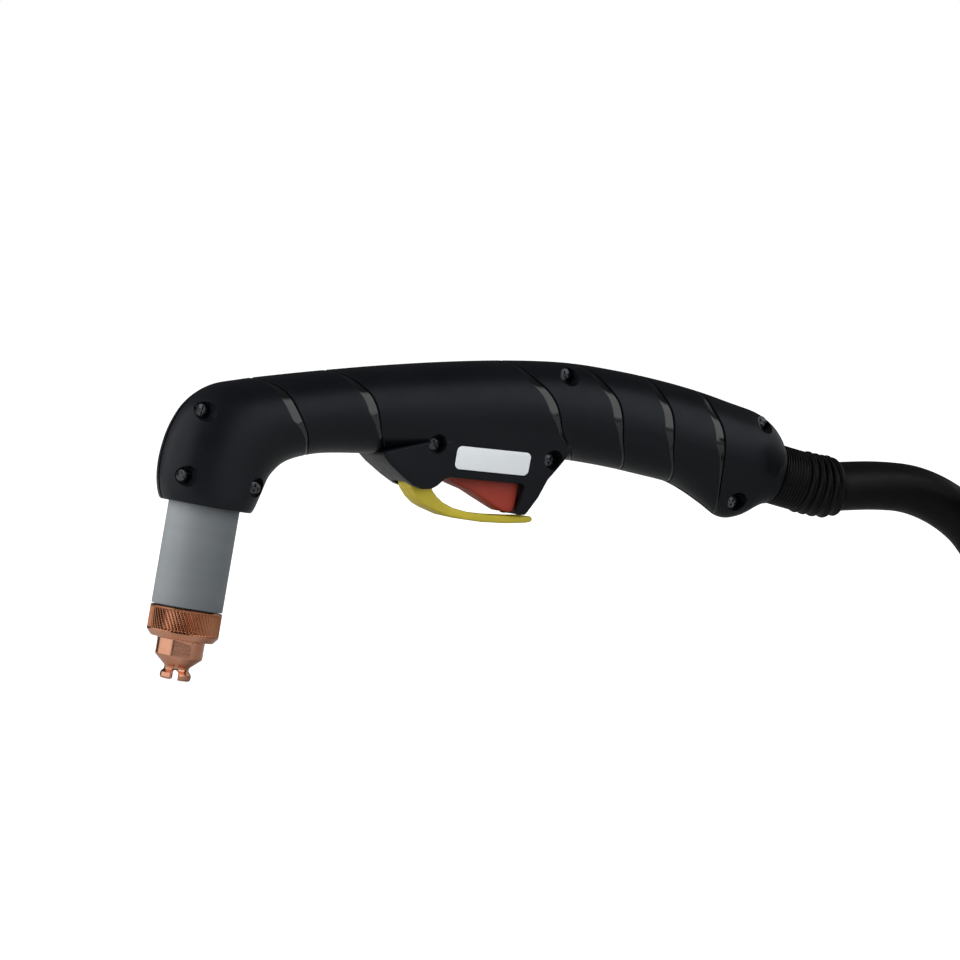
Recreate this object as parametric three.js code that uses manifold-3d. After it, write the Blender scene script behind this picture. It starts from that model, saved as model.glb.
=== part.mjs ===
// A hand plasma cutting torch on its lead, in millimetres, +Z up.
// The torch stands on its drag shield as it does at work: handle along X, nozzle towards -X,
// lead leaving towards +X. X = 0 is the middle of the torch without its lead, Z = 0 the plate.
// "Left" and "right" are those of the hand that holds it, so the left side is -Y.
import * as THREE from "three";
import { mergeVertices } from "three/addons/utils/BufferGeometryUtils.js";
import Module from "manifold-3d";

const wasm = await Module();
wasm.setup();

// ---------------------------------------------------------------- driving dimensions
const NOZZLE_TILT = 10.4; // degrees the nozzle axis leans from upright
const NOZZLE_X = -128.5; // where that axis meets the plate
const FIT_GAP = 0.3; // between two pieces that touch
const RUN_GAP = 0.5; // between a moving piece and its neighbour

// Handle casing. Each station pairs a point of the back outline with one of the belly outline, in
// the plane Y = 0, and says how wide it is there beside the grip. They run from the rim round the
// cap to the tail.
const GRIP_HALF = 17.0; // half width of the grip
const WALL = 2.4;
const ROUNDNESS = 2.15; // exponent of the oval sections, 2 is an ellipse
const SHELL_SHIFT_X = -9.4; // from the measuring frame of the outline to X = 0
const STATIONS = [
  { back: [-123.9, 66.4], belly: [-90.6, 60.2], wide: 1.000 },
  { back: [-124.7, 74.5], belly: [-87.2, 67.3], wide: 1.018 },
  { back: [-123.4, 83.6], belly: [-84.4, 73.2], wide: 1.029 },
  { back: [-119.8, 93.4], belly: [-81.4, 76.6], wide: 1.029 },
  { back: [-113.8, 101.8], belly: [-78.4, 78.7], wide: 1.018 },
  { back: [-104.9, 107.3], belly: [-74.8, 80.1], wide: 1.000 },
  { back: [-93.5, 109.3], belly: [-70.0, 81.2], wide: 0.988 },
  { back: [-78.0, 110.9], belly: [-64.0, 81.9], wide: 0.976 },
  { back: [-60.0, 112.4], belly: [-55.0, 81.9], wide: 0.976 },
  { back: [-38.0, 113.9], belly: [-37.0, 81.2], wide: 0.976 },
  { back: [-12.0, 115.0], belly: [-12.0, 80.6], wide: 0.988 },
  { back: [12.0, 115.2], belly: [10.0, 80.2], wide: 1.000 },
  { back: [34.0, 113.8], belly: [31.0, 79.0], wide: 1.000 },
  { back: [54.0, 110.5], belly: [50.0, 75.8], wide: 1.000 },
  { back: [72.0, 106.7], belly: [66.5, 72.2], wide: 1.000 },
  { back: [88.0, 102.3], belly: [81.5, 68.2], wide: 1.000 },
  { back: [102.0, 97.8], belly: [95.5, 64.6], wide: 0.976 },
  { back: [112.0, 94.6], belly: [106.0, 61.9], wide: 0.918 },
  { back: [118.0, 91.0], belly: [112.0, 60.6], wide: 0.800 },
  { back: [121.6, 86.9], belly: [115.6, 60.0], wide: 0.718 },
  { back: [123.6, 82.8], belly: [117.4, 59.6], wide: 0.700 },
];
const SECTION_SIDES = 24;

// Trigger housing under the handle, also in the measuring frame
const HOUSING_OUTLINE = [
  [-45.2, 84.4], [-44.4, 82.4], [-40.8, 78.2], [-35.3, 73.3], [-30.8, 69.9], [-27.0, 68.4],
  [-23.6, 68.4], [-21.2, 69.6], [-18.6, 71.9], [-16.4, 72.6], [13.9, 69.3], [12.2, 63.0],
  [10.2, 57.9], [14.8, 57.9], [19.4, 64.3], [22.7, 70.9], [25.2, 75.0], [28.4, 79.0],
  [31.2, 82.6], [27.3, 88.1], [25.0, 95.9], [-4.0, 95.9], [-14.0, 90.5], [-25.4, 86.3],
];
const TRIGGER_PIVOT = [-13.0, 76.2];
const LEVER_PIVOT = [-25.0, 72.6];
const TRIGGER_HALF = 6.4; // half width of the trigger and of the lever
const HOUSING_WALL = 4.2; // beside the trigger's slot, at the foot
const FOOT_Z = 68; // the housing's flanks lean in from the grip's down to here
const FOOT_HALF = TRIGGER_HALF + RUN_GAP + HOUSING_WALL;
const FLANK_TOP_Z = 96; // where they leave the grip's flanks
const PIN_HOLD = 2.3; // depth a pivot pin reaches into each wall
const PIN_R = 1.5;
const HUB_R = 3.2;
const SLOT_FRONT_X = -32.4;
const SLOT_REAR_X = 15.2; // inner face of the wall behind the trigger
const PLUNGER_ARM = 8; // from the trigger's pivot to the switch plunger
const PLUNGER_LOW = 77.9;
const SWITCH_LOW = 81.0;
const SPRING_X = 6.5; // the trigger's return spring
const SPRING_Z = 75.4;

// Lug at the tail
const LUG_X = 101.8;
const LUG_Z = 60.6;
const LUG_R = 6.2;
const LUG_HALF = 8.5; // at the middle of its screw
const LUG_LEAN = 0.55; // how much its flanks widen per mm upwards

// Screws through the left shell into the right one: where each axis lies
const SCREWS = [
  [-110.8, 98.4], [-118.6, 75.2], [-91.2, 70.2], [-22.2, 85.0],
  [24.2, 78.1], [31.0, 109.6], [LUG_X, LUG_Z], [113.2, 90.6],
];
const SCREW_HEAD_R = 2.7;
const SCREW_HEAD_H = 2.0;
const SCREW_SHANK_R = 1.45;
const SCREW_LENGTH = 13; // below the head
const COUNTERBORE_R = 3.2;
const HEAD_RECESS = 3.2; // head's face under the shell's surface
const BOSS_R = 4.1;

// Label place, a blank plate let into the left flank
const LABEL = { x: 0.0, z: 78.4, length: 29.6, height: 8.8, corner: 2.0, tilt: -6.5 };
const LABEL_T = 0.8;
const LABEL_DEPTH = 0.9; // of the recess it lies in

// Nozzle end, radii and heights along the nozzle axis from the crown's tip
const CAP_R = 13.0;
const CAP_BOTTOM = 26.5;
const CAP_TOP = 69.0;
const RIM = 63.3; // where the axis leaves the casing
const RING_R = 13.15; // knurled ring of the shield
const RING_BOTTOM = 16.6;
const RING_TOP = 26.0;
const KNURLS = 32;
const KNURL_DEPTH = 0.25;
const NECK_R = 8.65;
const NECK_TOP = 14.7;
const NECK_BOTTOM = 8.2;
const CROWN_R = 5.7;
const CROWN_EDGE = 0.6; // bevel at its end
const CROWN_SLOTS = 4;
const CROWN_SLOT_R = 1.3; // half its width, and the round of its upper end
const CROWN_SLOT_Z = 2.3; // where that round has its middle
const CROWN_TURN = -112; // degrees round the axis to the middle of the first slot
const MOUTH_R = 3.1;
const SOCKET_R = 10.4; // shield's threaded socket
const FLAT_WIDTH = 5.6; // milled flats of the neck
const FLAT_TURN = -102; // degrees round the axis to the first of them
const HEAD_R = 8.6; // brass head in its insulator
const INSULATOR_R = 10.6;
const FLANGE_R = 13.0; // the insulator's flange, held in a groove of the casing
const FLANGE_LOW = 77.2;
const FLANGE_HIGH = 80.6;
const GRIP_TOP = 84; // top of the casing's solid part round that groove

// Lead, strain relief and what is wound up
const LEAD_R = 9.5;
const BOOT_START = [120.5, 71.2]; // middle of the casing's rear end, in the measuring frame
const BOOT_R = LEAD_R + 2.4;
const BOOT_NECK_R = LEAD_R + 1.1; // where the boot passes the casing's tail
const BOOT_FLANGE_R = LEAD_R + 2.3; // inside the tail
const FINE_RIBS = 8;
const COARSE_RIBS = 5;
const RIB_POINTS = 12;
const LANE = 2 * LEAD_R + 1; // between turns that lie beside each other
const LAYER = 2 * LEAD_R + 0.5; // between turns that lie on each other
const LOOPS = 9;
const LOOPS_PER_LAYER = 2;
const FULL_LAYERS = Math.floor(LOOPS / LOOPS_PER_LAYER); // the last loop lies alone on these
const INNER_FOLD = 57; // bend radius of the innermost fold
const RUN = 92.3; // straight part of each loop
const WAIST = 4; // how far the ties draw the runs in
const FOLD_STEPS = 8;
const RUN_STEPS = 3;
const TAIL_STEPS = 12;
const HANK_SIDES = 6;
const TIE_T = 1.5;
const TIE_W = 20;
const HANK_X = 296.8; // where the first run starts
const HANK_Y = 7;
const STRAIGHT = 2 * LEAD_R; // of the hank's two ends
const PLATE_Z = TIE_T + FIT_GAP + LEAD_R; // centre line of the bottom layer
const TOP_Z = PLATE_Z + FULL_LAYERS * LAYER; // centre line of the last loop

// Hand-picked points from the casing's tail through the strain relief, and on to the hank
const RELIEF_ROUTE = [
  [103, 0, 73.4], [108.8, 0, 71.8], [117.3, 0, 69.3], [128.3, 0, 66.4], [133.8, 0, 65.5],
  [138.2, 0, 65.4],
];
const LEAD_ROUTE = [
  [138.6, 0, 65.4], [155.8, 0, 65.4], [170.8, 0, 63.6], [184.3, 0.1, 58.3], [196.3, 0.5, 49.9],
  [206.3, 1.2, 38.4], [216.3, 2.2, 27.0], [228.3, 3.7, 18.5], [241.8, 5.4, 13.2], [256.8, 6.7, PLATE_Z],
  [266.8, HANK_Y, PLATE_Z], [HANK_X - STRAIGHT - FIT_GAP, HANK_Y, PLATE_Z],
];

// Connector on the far end, which lies on two of the hank's far runs beside the last loop
const PLUG_R = 24;
const PLUG_RING_R = 25;
const PLUG_FACE = 87; // mating face, from the rear of its boot
const PLUG_ROOM = 13; // depth of the round recess that the pins stand in
const PLUG_X = HANK_X + STRAIGHT; // rear face of its boot
const PLUG_Y = -27;
const PLUG_ASIDE = PLUG_Y - (HANK_Y - 2 * LANE); // from the middle of the run that bears it
const PLUG_Z = TOP_Z - LAYER + Math.sqrt((LEAD_R + RUN_GAP + PLUG_RING_R) ** 2 - PLUG_ASIDE ** 2);

// ---------------------------------------------------------------- helpers
const rad = THREE.MathUtils.degToRad;

function solid(geometry) {
  const bare = geometry.index ? geometry.toNonIndexed() : geometry.clone();
  bare.deleteAttribute("normal");
  bare.deleteAttribute("uv");
  const merged = mergeVertices(bare, 1e-4);
  return new wasm.Manifold(
    new wasm.Mesh({
      numProp: 3,
      vertProperties: merged.attributes.position.array,
      triVerts: new Uint32Array(merged.index.array),
    }),
  );
}

function geometryOf(body) {
  const mesh = body.getMesh();
  const geometry = new THREE.BufferGeometry();
  const flat = new Float32Array(mesh.numVert * 3);
  for (let i = 0; i < mesh.numVert; i++) {
    flat.set(mesh.vertProperties.subarray(i * mesh.numProp, i * mesh.numProp + 3), i * 3);
  }
  geometry.setAttribute("position", new THREE.BufferAttribute(flat, 3));
  geometry.setIndex(new THREE.BufferAttribute(mesh.triVerts, 1));
  return geometry;
}

function matte(colour, metalness = 0, roughness = 0.6) {
  return new THREE.MeshStandardMaterial({ color: colour, metalness, roughness });
}

const BLACK = matte(0x1d1f21);
const RUBBER = matte(0x141414, 0, 0.8);
const COPPER = matte(0xc8825a, 1, 0.3);
const BRASS = matte(0xb59a52, 1, 0.35);
const STEEL = matte(0xb8bcc0, 1, 0.35);
const GREY = matte(0x7d8588, 0, 0.5);
const YELLOW = matte(0xc4ad26, 0, 0.5);
const RED = matte(0xb2402a, 0, 0.5);
const WHITE = matte(0xe2e8ee, 0, 0.4);
const CREAM = matte(0xcfc7b4, 0, 0.6);
const BLUE = matte(0x2b4a8c, 0, 0.6);

function put(parent, name, body, material) {
  const mesh = new THREE.Mesh(body.isBufferGeometry ? body : geometryOf(body), material);
  mesh.name = name;
  parent.add(mesh);
  return mesh;
}

// A turned piece about Z: profile is a closed list of [radius, height].
function turned(profile, segments = 32) {
  const points = [...profile, profile[0]].map(([r, z]) => new THREE.Vector2(r, z));
  const geometry = new THREE.LatheGeometry(points, segments);
  geometry.rotateX(Math.PI / 2);
  let body = solid(geometry);
  if (body.volume() < 0) {
    const flipped = new THREE.LatheGeometry(points.reverse(), segments);
    flipped.rotateX(Math.PI / 2);
    body = solid(flipped);
  }
  return body;
}

const disc = (radius, low, high, segments = 24) =>
  turned([[0, low], [radius, low], [radius, high], [0, high]], segments);

// A plate with its outline in the XZ plane, from y = low to y = high.
function plate(outline, low, high, curveSegments = 6) {
  const isShape = outline instanceof THREE.Shape;
  const shape = isShape ? outline : new THREE.Shape(outline.map(([x, z]) => new THREE.Vector2(x, z)));
  const depth = high - low;
  const geometry = new THREE.ExtrudeGeometry(shape, { depth, bevelEnabled: false, curveSegments });
  geometry.rotateX(Math.PI / 2); // depth now runs towards -Y
  geometry.translate(0, high, 0);
  return solid(geometry);
}

// A round bar along Y.
function barY(x, z, radius, low, high, segments = 20) {
  const geometry = new THREE.CylinderGeometry(radius, radius, high - low, segments);
  geometry.translate(x, (low + high) / 2, z);
  return solid(geometry);
}

function boxAt(x, y, z, sx, sy, sz) {
  const geometry = new THREE.BoxGeometry(sx, sy, sz);
  geometry.translate(x, y, z);
  return solid(geometry);
}

const moved = (body, x, y, z) => body.translate([x, y, z]);

function tube(points, radius, sides, steps) {
  const curve = new THREE.CatmullRomCurve3(points.map((p) => new THREE.Vector3(...p)), false, "centripetal");
  const section = new THREE.Shape();
  for (let i = 0; i <= sides; i++) {
    const a = (i / sides) * 2 * Math.PI;
    const x = radius * Math.cos(a);
    const y = radius * Math.sin(a);
    if (i === 0) section.moveTo(x, y);
    else if (i < sides) section.lineTo(x, y);
  }
  section.closePath();
  return solid(new THREE.ExtrudeGeometry(section, { steps, extrudePath: curve, bevelEnabled: false }));
}

// A closed skin over rings of points, each ring given in the same order.
function skin(rings) {
  const sides = rings[0].length;
  const positions = [];
  const index = [];
  rings.forEach((ring) => ring.forEach((p) => positions.push(p.x, p.y, p.z)));
  for (let i = 0; i + 1 < rings.length; i++) {
    for (let k = 0; k < sides; k++) {
      const a = i * sides + k;
      const b = i * sides + ((k + 1) % sides);
      index.push(a, b, a + sides, b, b + sides, a + sides);
    }
  }
  [0, rings.length - 1].forEach((i) => {
    const centre = rings[i].reduce((sum, p) => sum.add(p), new THREE.Vector3()).divideScalar(sides);
    const c = positions.length / 3;
    positions.push(centre.x, centre.y, centre.z);
    for (let k = 0; k < sides; k++) {
      const a = i * sides + k;
      const b = i * sides + ((k + 1) % sides);
      if (i === 0) index.push(c, b, a);
      else index.push(c, a, b);
    }
  });
  const geometry = new THREE.BufferGeometry();
  geometry.setAttribute("position", new THREE.Float32BufferAttribute(positions, 3));
  geometry.setIndex(index);
  const body = solid(geometry);
  if (body.volume() > 0) return body;
  const turnedRound = [];
  for (let i = 0; i < index.length; i += 3) turnedRound.push(index[i], index[i + 2], index[i + 1]);
  geometry.setIndex(turnedRound);
  return solid(geometry);
}

// Rings of a round tube that follows a list of centre points, square to its path.
function ringsAlong(path, radiusAt, sides, up = new THREE.Vector3(0, 0, 1)) {
  return path.map((p, i) => {
    const before = path[Math.max(i - 1, 0)];
    const after = path[Math.min(i + 1, path.length - 1)];
    const along = new THREE.Vector3().subVectors(after, before).normalize();
    const side = new THREE.Vector3().crossVectors(up, along).normalize();
    const top = new THREE.Vector3().crossVectors(along, side);
    return Array.from({ length: sides }, (_, k) => {
      const a = ((k + 0.5) / sides) * 2 * Math.PI;
      const r = radiusAt(i);
      return p.clone().addScaledVector(side, r * Math.cos(a)).addScaledVector(top, r * Math.sin(a));
    });
  });
}

// A wound spring about Z: 8 steps of 5 sides for each curl.
function coil(radius, wire, low, high, curls) {
  const steps = curls * 8;
  const path = Array.from({ length: steps + 1 }, (_, i) => {
    const a = (i / 8) * 2 * Math.PI;
    return new THREE.Vector3(radius * Math.cos(a), radius * Math.sin(a), low + ((high - low) * i) / steps);
  });
  return skin(ringsAlong(path, () => wire, 5));
}

// ---------------------------------------------------------------- casing
const frameX = (x) => x + SHELL_SHIFT_X;
const backPoints = STATIONS.map((s) => new THREE.Vector2(frameX(s.back[0]), s.back[1]));
const backCurve = new THREE.SplineCurve(backPoints);
const bellyPoints = STATIONS.map((s) => new THREE.Vector2(frameX(s.belly[0]), s.belly[1]));
const bellyCurve = new THREE.SplineCurve(bellyPoints);
const halfCurve = new THREE.SplineCurve(STATIONS.map((s, i) => new THREE.Vector2(i, s.wide * GRIP_HALF)));

function station(t) {
  const back = backCurve.getPoint(t);
  const belly = bellyCurve.getPoint(t);
  const middle = back.clone().add(belly).multiplyScalar(0.5);
  const toBack = back.clone().sub(belly);
  const tall = toBack.length() / 2;
  return { middle, dir: toBack.normalize(), tall, half: halfCurve.getPoint(t).y };
}

function ovalRing(t, inset) {
  const s = station(t);
  return Array.from({ length: SECTION_SIDES }, (_, k) => {
    const a = (k / SECTION_SIDES) * 2 * Math.PI;
    const c = Math.cos(a);
    const n = Math.sin(a);
    const y = Math.sign(c) * Math.abs(c) ** (2 / ROUNDNESS) * (s.half - inset);
    const v = Math.sign(n) * Math.abs(n) ** (2 / ROUNDNESS) * (s.tall - inset);
    return new THREE.Vector3(s.middle.x + s.dir.x * v, Math.abs(y) < 1e-9 ? 0 : y, s.middle.y + s.dir.y * v);
  });
}

function casingLoft(from, to, inset) {
  const count = Math.round((to - from) * (STATIONS.length - 1));
  return skin(Array.from({ length: count + 1 }, (_, i) => ovalRing(from + ((to - from) * i) / count, inset)));
}

// Half width of the casing's outside at a point of the side view.
function casingHalfAt(x, z) {
  let best = { off: Infinity, half: 0 };
  for (let i = 0; i <= 400; i++) {
    const s = station(i / 400);
    const dx = x - s.middle.x;
    const dz = z - s.middle.y;
    const off = Math.abs(dx * s.dir.y - dz * s.dir.x);
    const v = Math.abs(dx * s.dir.x + dz * s.dir.y) / s.tall;
    if (off < best.off && v < 1) best = { off, half: s.half * (1 - v ** ROUNDNESS) ** (1 / ROUNDNESS) };
  }
  return best.half;
}

const nozzleBase = new THREE.Vector3(NOZZLE_X, 0, (CROWN_R - CROWN_EDGE) * Math.sin(rad(NOZZLE_TILT)));
const nozzleFrame = new THREE.Matrix4()
  .makeTranslation(nozzleBase)
  .multiply(new THREE.Matrix4().makeRotationY(rad(NOZZLE_TILT)));
const inNozzleFrame = (body) => body.transform(nozzleFrame.toArray());

const tailTilt = Math.atan2(RELIEF_ROUTE[0][2] - RELIEF_ROUTE[1][2], RELIEF_ROUTE[1][0] - RELIEF_ROUTE[0][0]);
const tailFrame = new THREE.Matrix4()
  .makeTranslation(frameX(BOOT_START[0]), 0, BOOT_START[1])
  .multiply(new THREE.Matrix4().makeRotationY(Math.PI / 2 + tailTilt));
const inTailFrame = (body) => body.transform(tailFrame.toArray());

const shifted = (outline) => outline.map(([x, z]) => [frameX(x), z]);

// A long body from x onwards whose two flanks lean: its half width at two heights is halfAt's.
function wedge(x, halfAt, low, high) {
  const section = new THREE.Shape([
    new THREE.Vector2(-halfAt(low), low), new THREE.Vector2(halfAt(low), low),
    new THREE.Vector2(halfAt(high), high), new THREE.Vector2(-halfAt(high), high),
  ]);
  const body = new THREE.ExtrudeGeometry(section, { depth: 100, bevelEnabled: false });
  body.rotateX(Math.PI / 2);
  body.rotateZ(Math.PI / 2); // depth now runs towards +X
  body.translate(frameX(x), 0, 0);
  return solid(body);
}

const lugHalfAt = (z) => LUG_HALF + LUG_LEAN * (z - LUG_Z);

function lugBody() {
  const foot = new THREE.Shape();
  foot.absarc(frameX(LUG_X), LUG_Z, LUG_R, 0, 2 * Math.PI, false);
  const web = shifted([
    [LUG_X - 26, 69.0], [LUG_X - 4.4, LUG_Z - 4.4], [LUG_X, LUG_Z - LUG_R], [LUG_X + 4.4, LUG_Z - 4.4],
    [LUG_X + 13, 60.8], [LUG_X + 6, 74], [LUG_X - 20, 74],
  ]);
  const both = plate(foot, -GRIP_HALF, GRIP_HALF).add(plate(web, -GRIP_HALF, GRIP_HALF));
  return both.intersect(wedge(LUG_X - 30, lugHalfAt, 50, 75));
}

const flankSlope = (GRIP_HALF - FOOT_HALF) / (FLANK_TOP_Z - FOOT_Z);
const flankHalfAt = (z) => FOOT_HALF + flankSlope * (z - FOOT_Z);

// The housing: its outline in the side view, between the two leaning flanks.
function housing() {
  const low = FOOT_Z - 15;
  const body = plate(shifted(HOUSING_OUTLINE), -GRIP_HALF - 1, GRIP_HALF + 1);
  return body.intersect(wedge(-60, flankHalfAt, low, FLANK_TOP_Z));
}

function outerCasing() {
  return casingLoft(0, 1, 0).add(housing()).add(lugBody());
}

function triggerSlot() {
  const half = TRIGGER_HALF + RUN_GAP;
  const outline = shifted([
    [SLOT_FRONT_X, 60], [13.4, 50], [13.4, 62.0], [SLOT_REAR_X, 64.0], [SLOT_REAR_X, 90], [SLOT_FRONT_X, 90],
  ]);
  return plate(outline, -half, half);
}

function screwSeats() {
  return SCREWS.map(([x, z]) => {
    const inHousing = x > -40 && x < 30 && z < 88;
    const besideHousing = inHousing ? flankHalfAt(z) : 0;
    const besideLug = z === LUG_Z ? LUG_HALF : 0;
    const surface = Math.max(casingHalfAt(frameX(x), z), besideHousing, besideLug);
    return { x: frameX(x), z, face: -(surface - HEAD_RECESS) };
  });
}

const seats = screwSeats();

function screwBoss(seat) {
  return barY(seat.x, seat.z, BOSS_R, -GRIP_HALF, GRIP_HALF, 16);
}

function screwHole(seat) {
  const bore = SCREW_SHANK_R + 0.1;
  const shoulder = seat.face + SCREW_HEAD_H;
  return barY(seat.x, seat.z, COUNTERBORE_R, -20, shoulder, 16).add(
    barY(seat.x, seat.z, bore, shoulder - 1, shoulder + SCREW_LENGTH + 1, 12),
  );
}

// Room for the cap and the insulator's flange at the nozzle end, and for the boot at the tail
function casingBores() {
  const wide = CAP_R + 0.45;
  const narrow = INSULATOR_R + FIT_GAP;
  const groove = FLANGE_R + FIT_GAP;
  const nozzleBore = turned([
    [0, RIM - 6], [wide, RIM - 6], [wide, CAP_TOP + RUN_GAP], [narrow, CAP_TOP + RUN_GAP],
    [narrow, FLANGE_LOW - FIT_GAP], [groove, FLANGE_LOW - FIT_GAP], [groove, FLANGE_HIGH + FIT_GAP],
    [narrow, FLANGE_HIGH + FIT_GAP], [narrow, GRIP_TOP + 2], [0, GRIP_TOP + 2],
  ], 32);
  const flange = BOOT_FLANGE_R + FIT_GAP;
  const neck = BOOT_NECK_R + 0.2;
  const tailBore = turned([[0, -16], [flange, -16], [flange, -2.7], [neck, -2.7], [neck, 3], [0, 3]], 28);
  return inNozzleFrame(nozzleBore).add(inTailFrame(tailBore));
}

function casing() {
  const outer = outerCasing();
  const hollow = casingLoft(0.035, 0.966, WALL);
  const grip = inNozzleFrame(disc(24, CAP_TOP + 1.4, GRIP_TOP)); // holds the insulator's flange
  const bosses = seats.map(screwBoss).reduce((a, b) => a.add(b));
  return outer
    .subtract(hollow.subtract(grip).subtract(bosses))
    .subtract(casingBores())
    .subtract(triggerSlot())
    .subtract(pivotHoles())
    .subtract(labelRecess());
}

// Blind sockets for the two pivot pins in the inner faces of the flanks
function pivotHoles() {
  const reach = TRIGGER_HALF + PIN_HOLD + FIT_GAP;
  const [tx, tz] = TRIGGER_PIVOT;
  const [lx, lz] = LEVER_PIVOT;
  const holes = [[tx, tz], [lx, lz]].map(([x, z]) => barY(frameX(x), z, PIN_R + 0.05, -reach, reach, 16));
  return holes[0].add(holes[1]);
}

// A plate with round corners on the left flank, from low to high under the flank's surface
function roundedPlate(spec, low, high, grow = 0) {
  const w = spec.length / 2 + grow;
  const h = spec.height / 2 + grow;
  const r = spec.corner + grow;
  const shape = new THREE.Shape();
  shape.moveTo(-w + r, -h);
  shape.lineTo(w - r, -h);
  shape.absarc(w - r, -h + r, r, -Math.PI / 2, 0, false);
  shape.lineTo(w, h - r);
  shape.absarc(w - r, h - r, r, 0, Math.PI / 2, false);
  shape.lineTo(-w + r, h);
  shape.absarc(-w + r, h - r, r, Math.PI / 2, Math.PI, false);
  shape.lineTo(-w, -h + r);
  shape.absarc(-w + r, -h + r, r, Math.PI, 1.5 * Math.PI, false);
  const lean = THREE.MathUtils.radToDeg(Math.atan(flankSlope));
  const body = plate(shape, low, high, 4).rotate([0, -spec.tilt, 0]).rotate([lean, 0, 0]);
  return moved(body, frameX(spec.x), -flankHalfAt(spec.z), spec.z);
}

function labelRecess() {
  return roundedPlate(LABEL, -8, LABEL_DEPTH, FIT_GAP);
}

function addCasing(torch) {
  const whole = casing();
  const holes = seats.map(screwHole).reduce((a, b) => a.add(b));
  const leftHalf = boxAt(0, -50, 80, 400, 100, 200);
  const rightHalf = boxAt(0, 50, 80, 400, 100, 200);
  const cut = whole.subtract(holes);
  put(torch, "handle_shell_left", biggest(cut.intersect(leftHalf)), BLACK);
  put(torch, "handle_shell_right", biggest(cut.intersect(rightHalf)), BLACK);
  seats.forEach((seat, i) => put(torch, `shell_screw_${i + 1}`, screw(seat), STEEL));
  const under = LABEL_DEPTH - 0.05;
  put(torch, "label_plate", roundedPlate(LABEL, under - LABEL_T, under), WHITE);
}

function biggest(body) {
  return body.decompose().reduce((a, b) => (b.volume() > a.volume() ? b : a));
}

function screw(seat) {
  const top = seat.face;
  const head = barY(seat.x, seat.z, SCREW_HEAD_R, top, top + SCREW_HEAD_H - 0.02, 12);
  const shank = barY(seat.x, seat.z, SCREW_SHANK_R, top + 1, top + SCREW_HEAD_H + SCREW_LENGTH, 8);
  const slot = boxAt(seat.x, top + 0.4, seat.z, 3.2, 1.2, 0.7);
  const cross = boxAt(seat.x, top + 0.4, seat.z, 0.7, 1.2, 3.2);
  return head.add(shank).subtract(slot).subtract(cross);
}

// ---------------------------------------------------------------- nozzle end
function dragShield() {
  const profile = [
    [MOUTH_R, 0], [CROWN_R - CROWN_EDGE, 0], [CROWN_R, CROWN_EDGE], [CROWN_R, 2.4], [4.6, 3.5], [4.6, 4.8],
    [NECK_R - 0.3, NECK_BOTTOM - 0.2], [NECK_R, NECK_BOTTOM + 0.3], [NECK_R, NECK_TOP],
    [RING_R - 2.0, NECK_TOP + 0.1], [RING_R, RING_BOTTOM + 0.4], [RING_R, RING_TOP - 0.3],
    [RING_R - 0.4, RING_TOP], [SOCKET_R, RING_TOP], [SOCKET_R, 17.0],
    [6.9, 13.6], [6.9, 10.6], [MOUTH_R, 6.2],
  ];
  let body = turned(profile, KNURLS);
  for (let i = 0; i < KNURLS; i++) {
    const groove = new THREE.CylinderGeometry(0.45, 0.45, RING_TOP - RING_BOTTOM - 1.2, 4);
    groove.rotateX(Math.PI / 2);
    groove.translate(RING_R + 0.45 - KNURL_DEPTH, 0, (RING_TOP + RING_BOTTOM) / 2);
    groove.rotateZ((2 * Math.PI * (i + 0.5)) / KNURLS);
    body = body.subtract(solid(groove));
  }
  const arch = new THREE.Shape();
  arch.absarc(0, CROWN_SLOT_Z, CROWN_SLOT_R, 0, Math.PI, false);
  arch.lineTo(-CROWN_SLOT_R, -1);
  arch.lineTo(CROWN_SLOT_R, -1);
  for (let i = 0; i < CROWN_SLOTS; i++) {
    const slot = new THREE.ExtrudeGeometry(arch, { depth: 6, bevelEnabled: false, curveSegments: 5 });
    slot.rotateX(Math.PI / 2); // the arch now stands up, its depth along -Y
    slot.translate(0, -MOUTH_R / 2, 0);
    slot.rotateZ(rad(CROWN_TURN + 90) + (i * 2 * Math.PI) / CROWN_SLOTS);
    body = body.subtract(solid(slot));
  }
  for (let i = 0; i < 3; i++) {
    const cutter = new THREE.BoxGeometry(4, 12, NECK_TOP - NECK_BOTTOM - 0.6);
    const chord = Math.sqrt(NECK_R ** 2 - (FLAT_WIDTH / 2) ** 2);
    cutter.translate(chord + 2, 0, (NECK_TOP + NECK_BOTTOM) / 2 + 0.2);
    cutter.rotateZ(rad(FLAT_TURN) + (i * 2 * Math.PI) / 3);
    body = body.subtract(solid(cutter));
  }
  return body;
}

function retainingCap() {
  const thread = SOCKET_R - FIT_GAP;
  return turned([
    [8.0, 17.6], [thread, 17.6], [thread, CAP_BOTTOM - 0.2], [CAP_R - 0.3, CAP_BOTTOM - 0.2],
    [CAP_R, CAP_BOTTOM + 0.2], [CAP_R, CAP_TOP], [10.9, CAP_TOP], [10.9, 30.0],
    [9.4, 26.0], [9.4, 20.6], [8.0, 19.6],
  ], 28);
}

function nozzle() {
  return turned([
    [0.7, 5.4], [2.6, 5.4], [2.8, 8.4], [5.6, 11.6], [6.4, 14.4], [7.6, 19.2], [9.1, 20.9], [9.1, 23.0],
    [5.0, 23.0], [5.0, 13.0], [1.2, 9.0], [0.7, 8.0],
  ], 20);
}

function swirlRing() {
  return turned([[5.5, 23.3], [8.7, 23.3], [8.7, 33.0], [5.5, 33.0]], 24);
}

function electrode() {
  return turned([
    [0, 12.2], [2.4, 12.2], [3.6, 14.6], [3.6, 31.0], [4.9, 33.6], [4.9, 36.0],
    [3.4, 36.0], [3.4, 44.0], [0, 44.0],
  ], 20);
}

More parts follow.
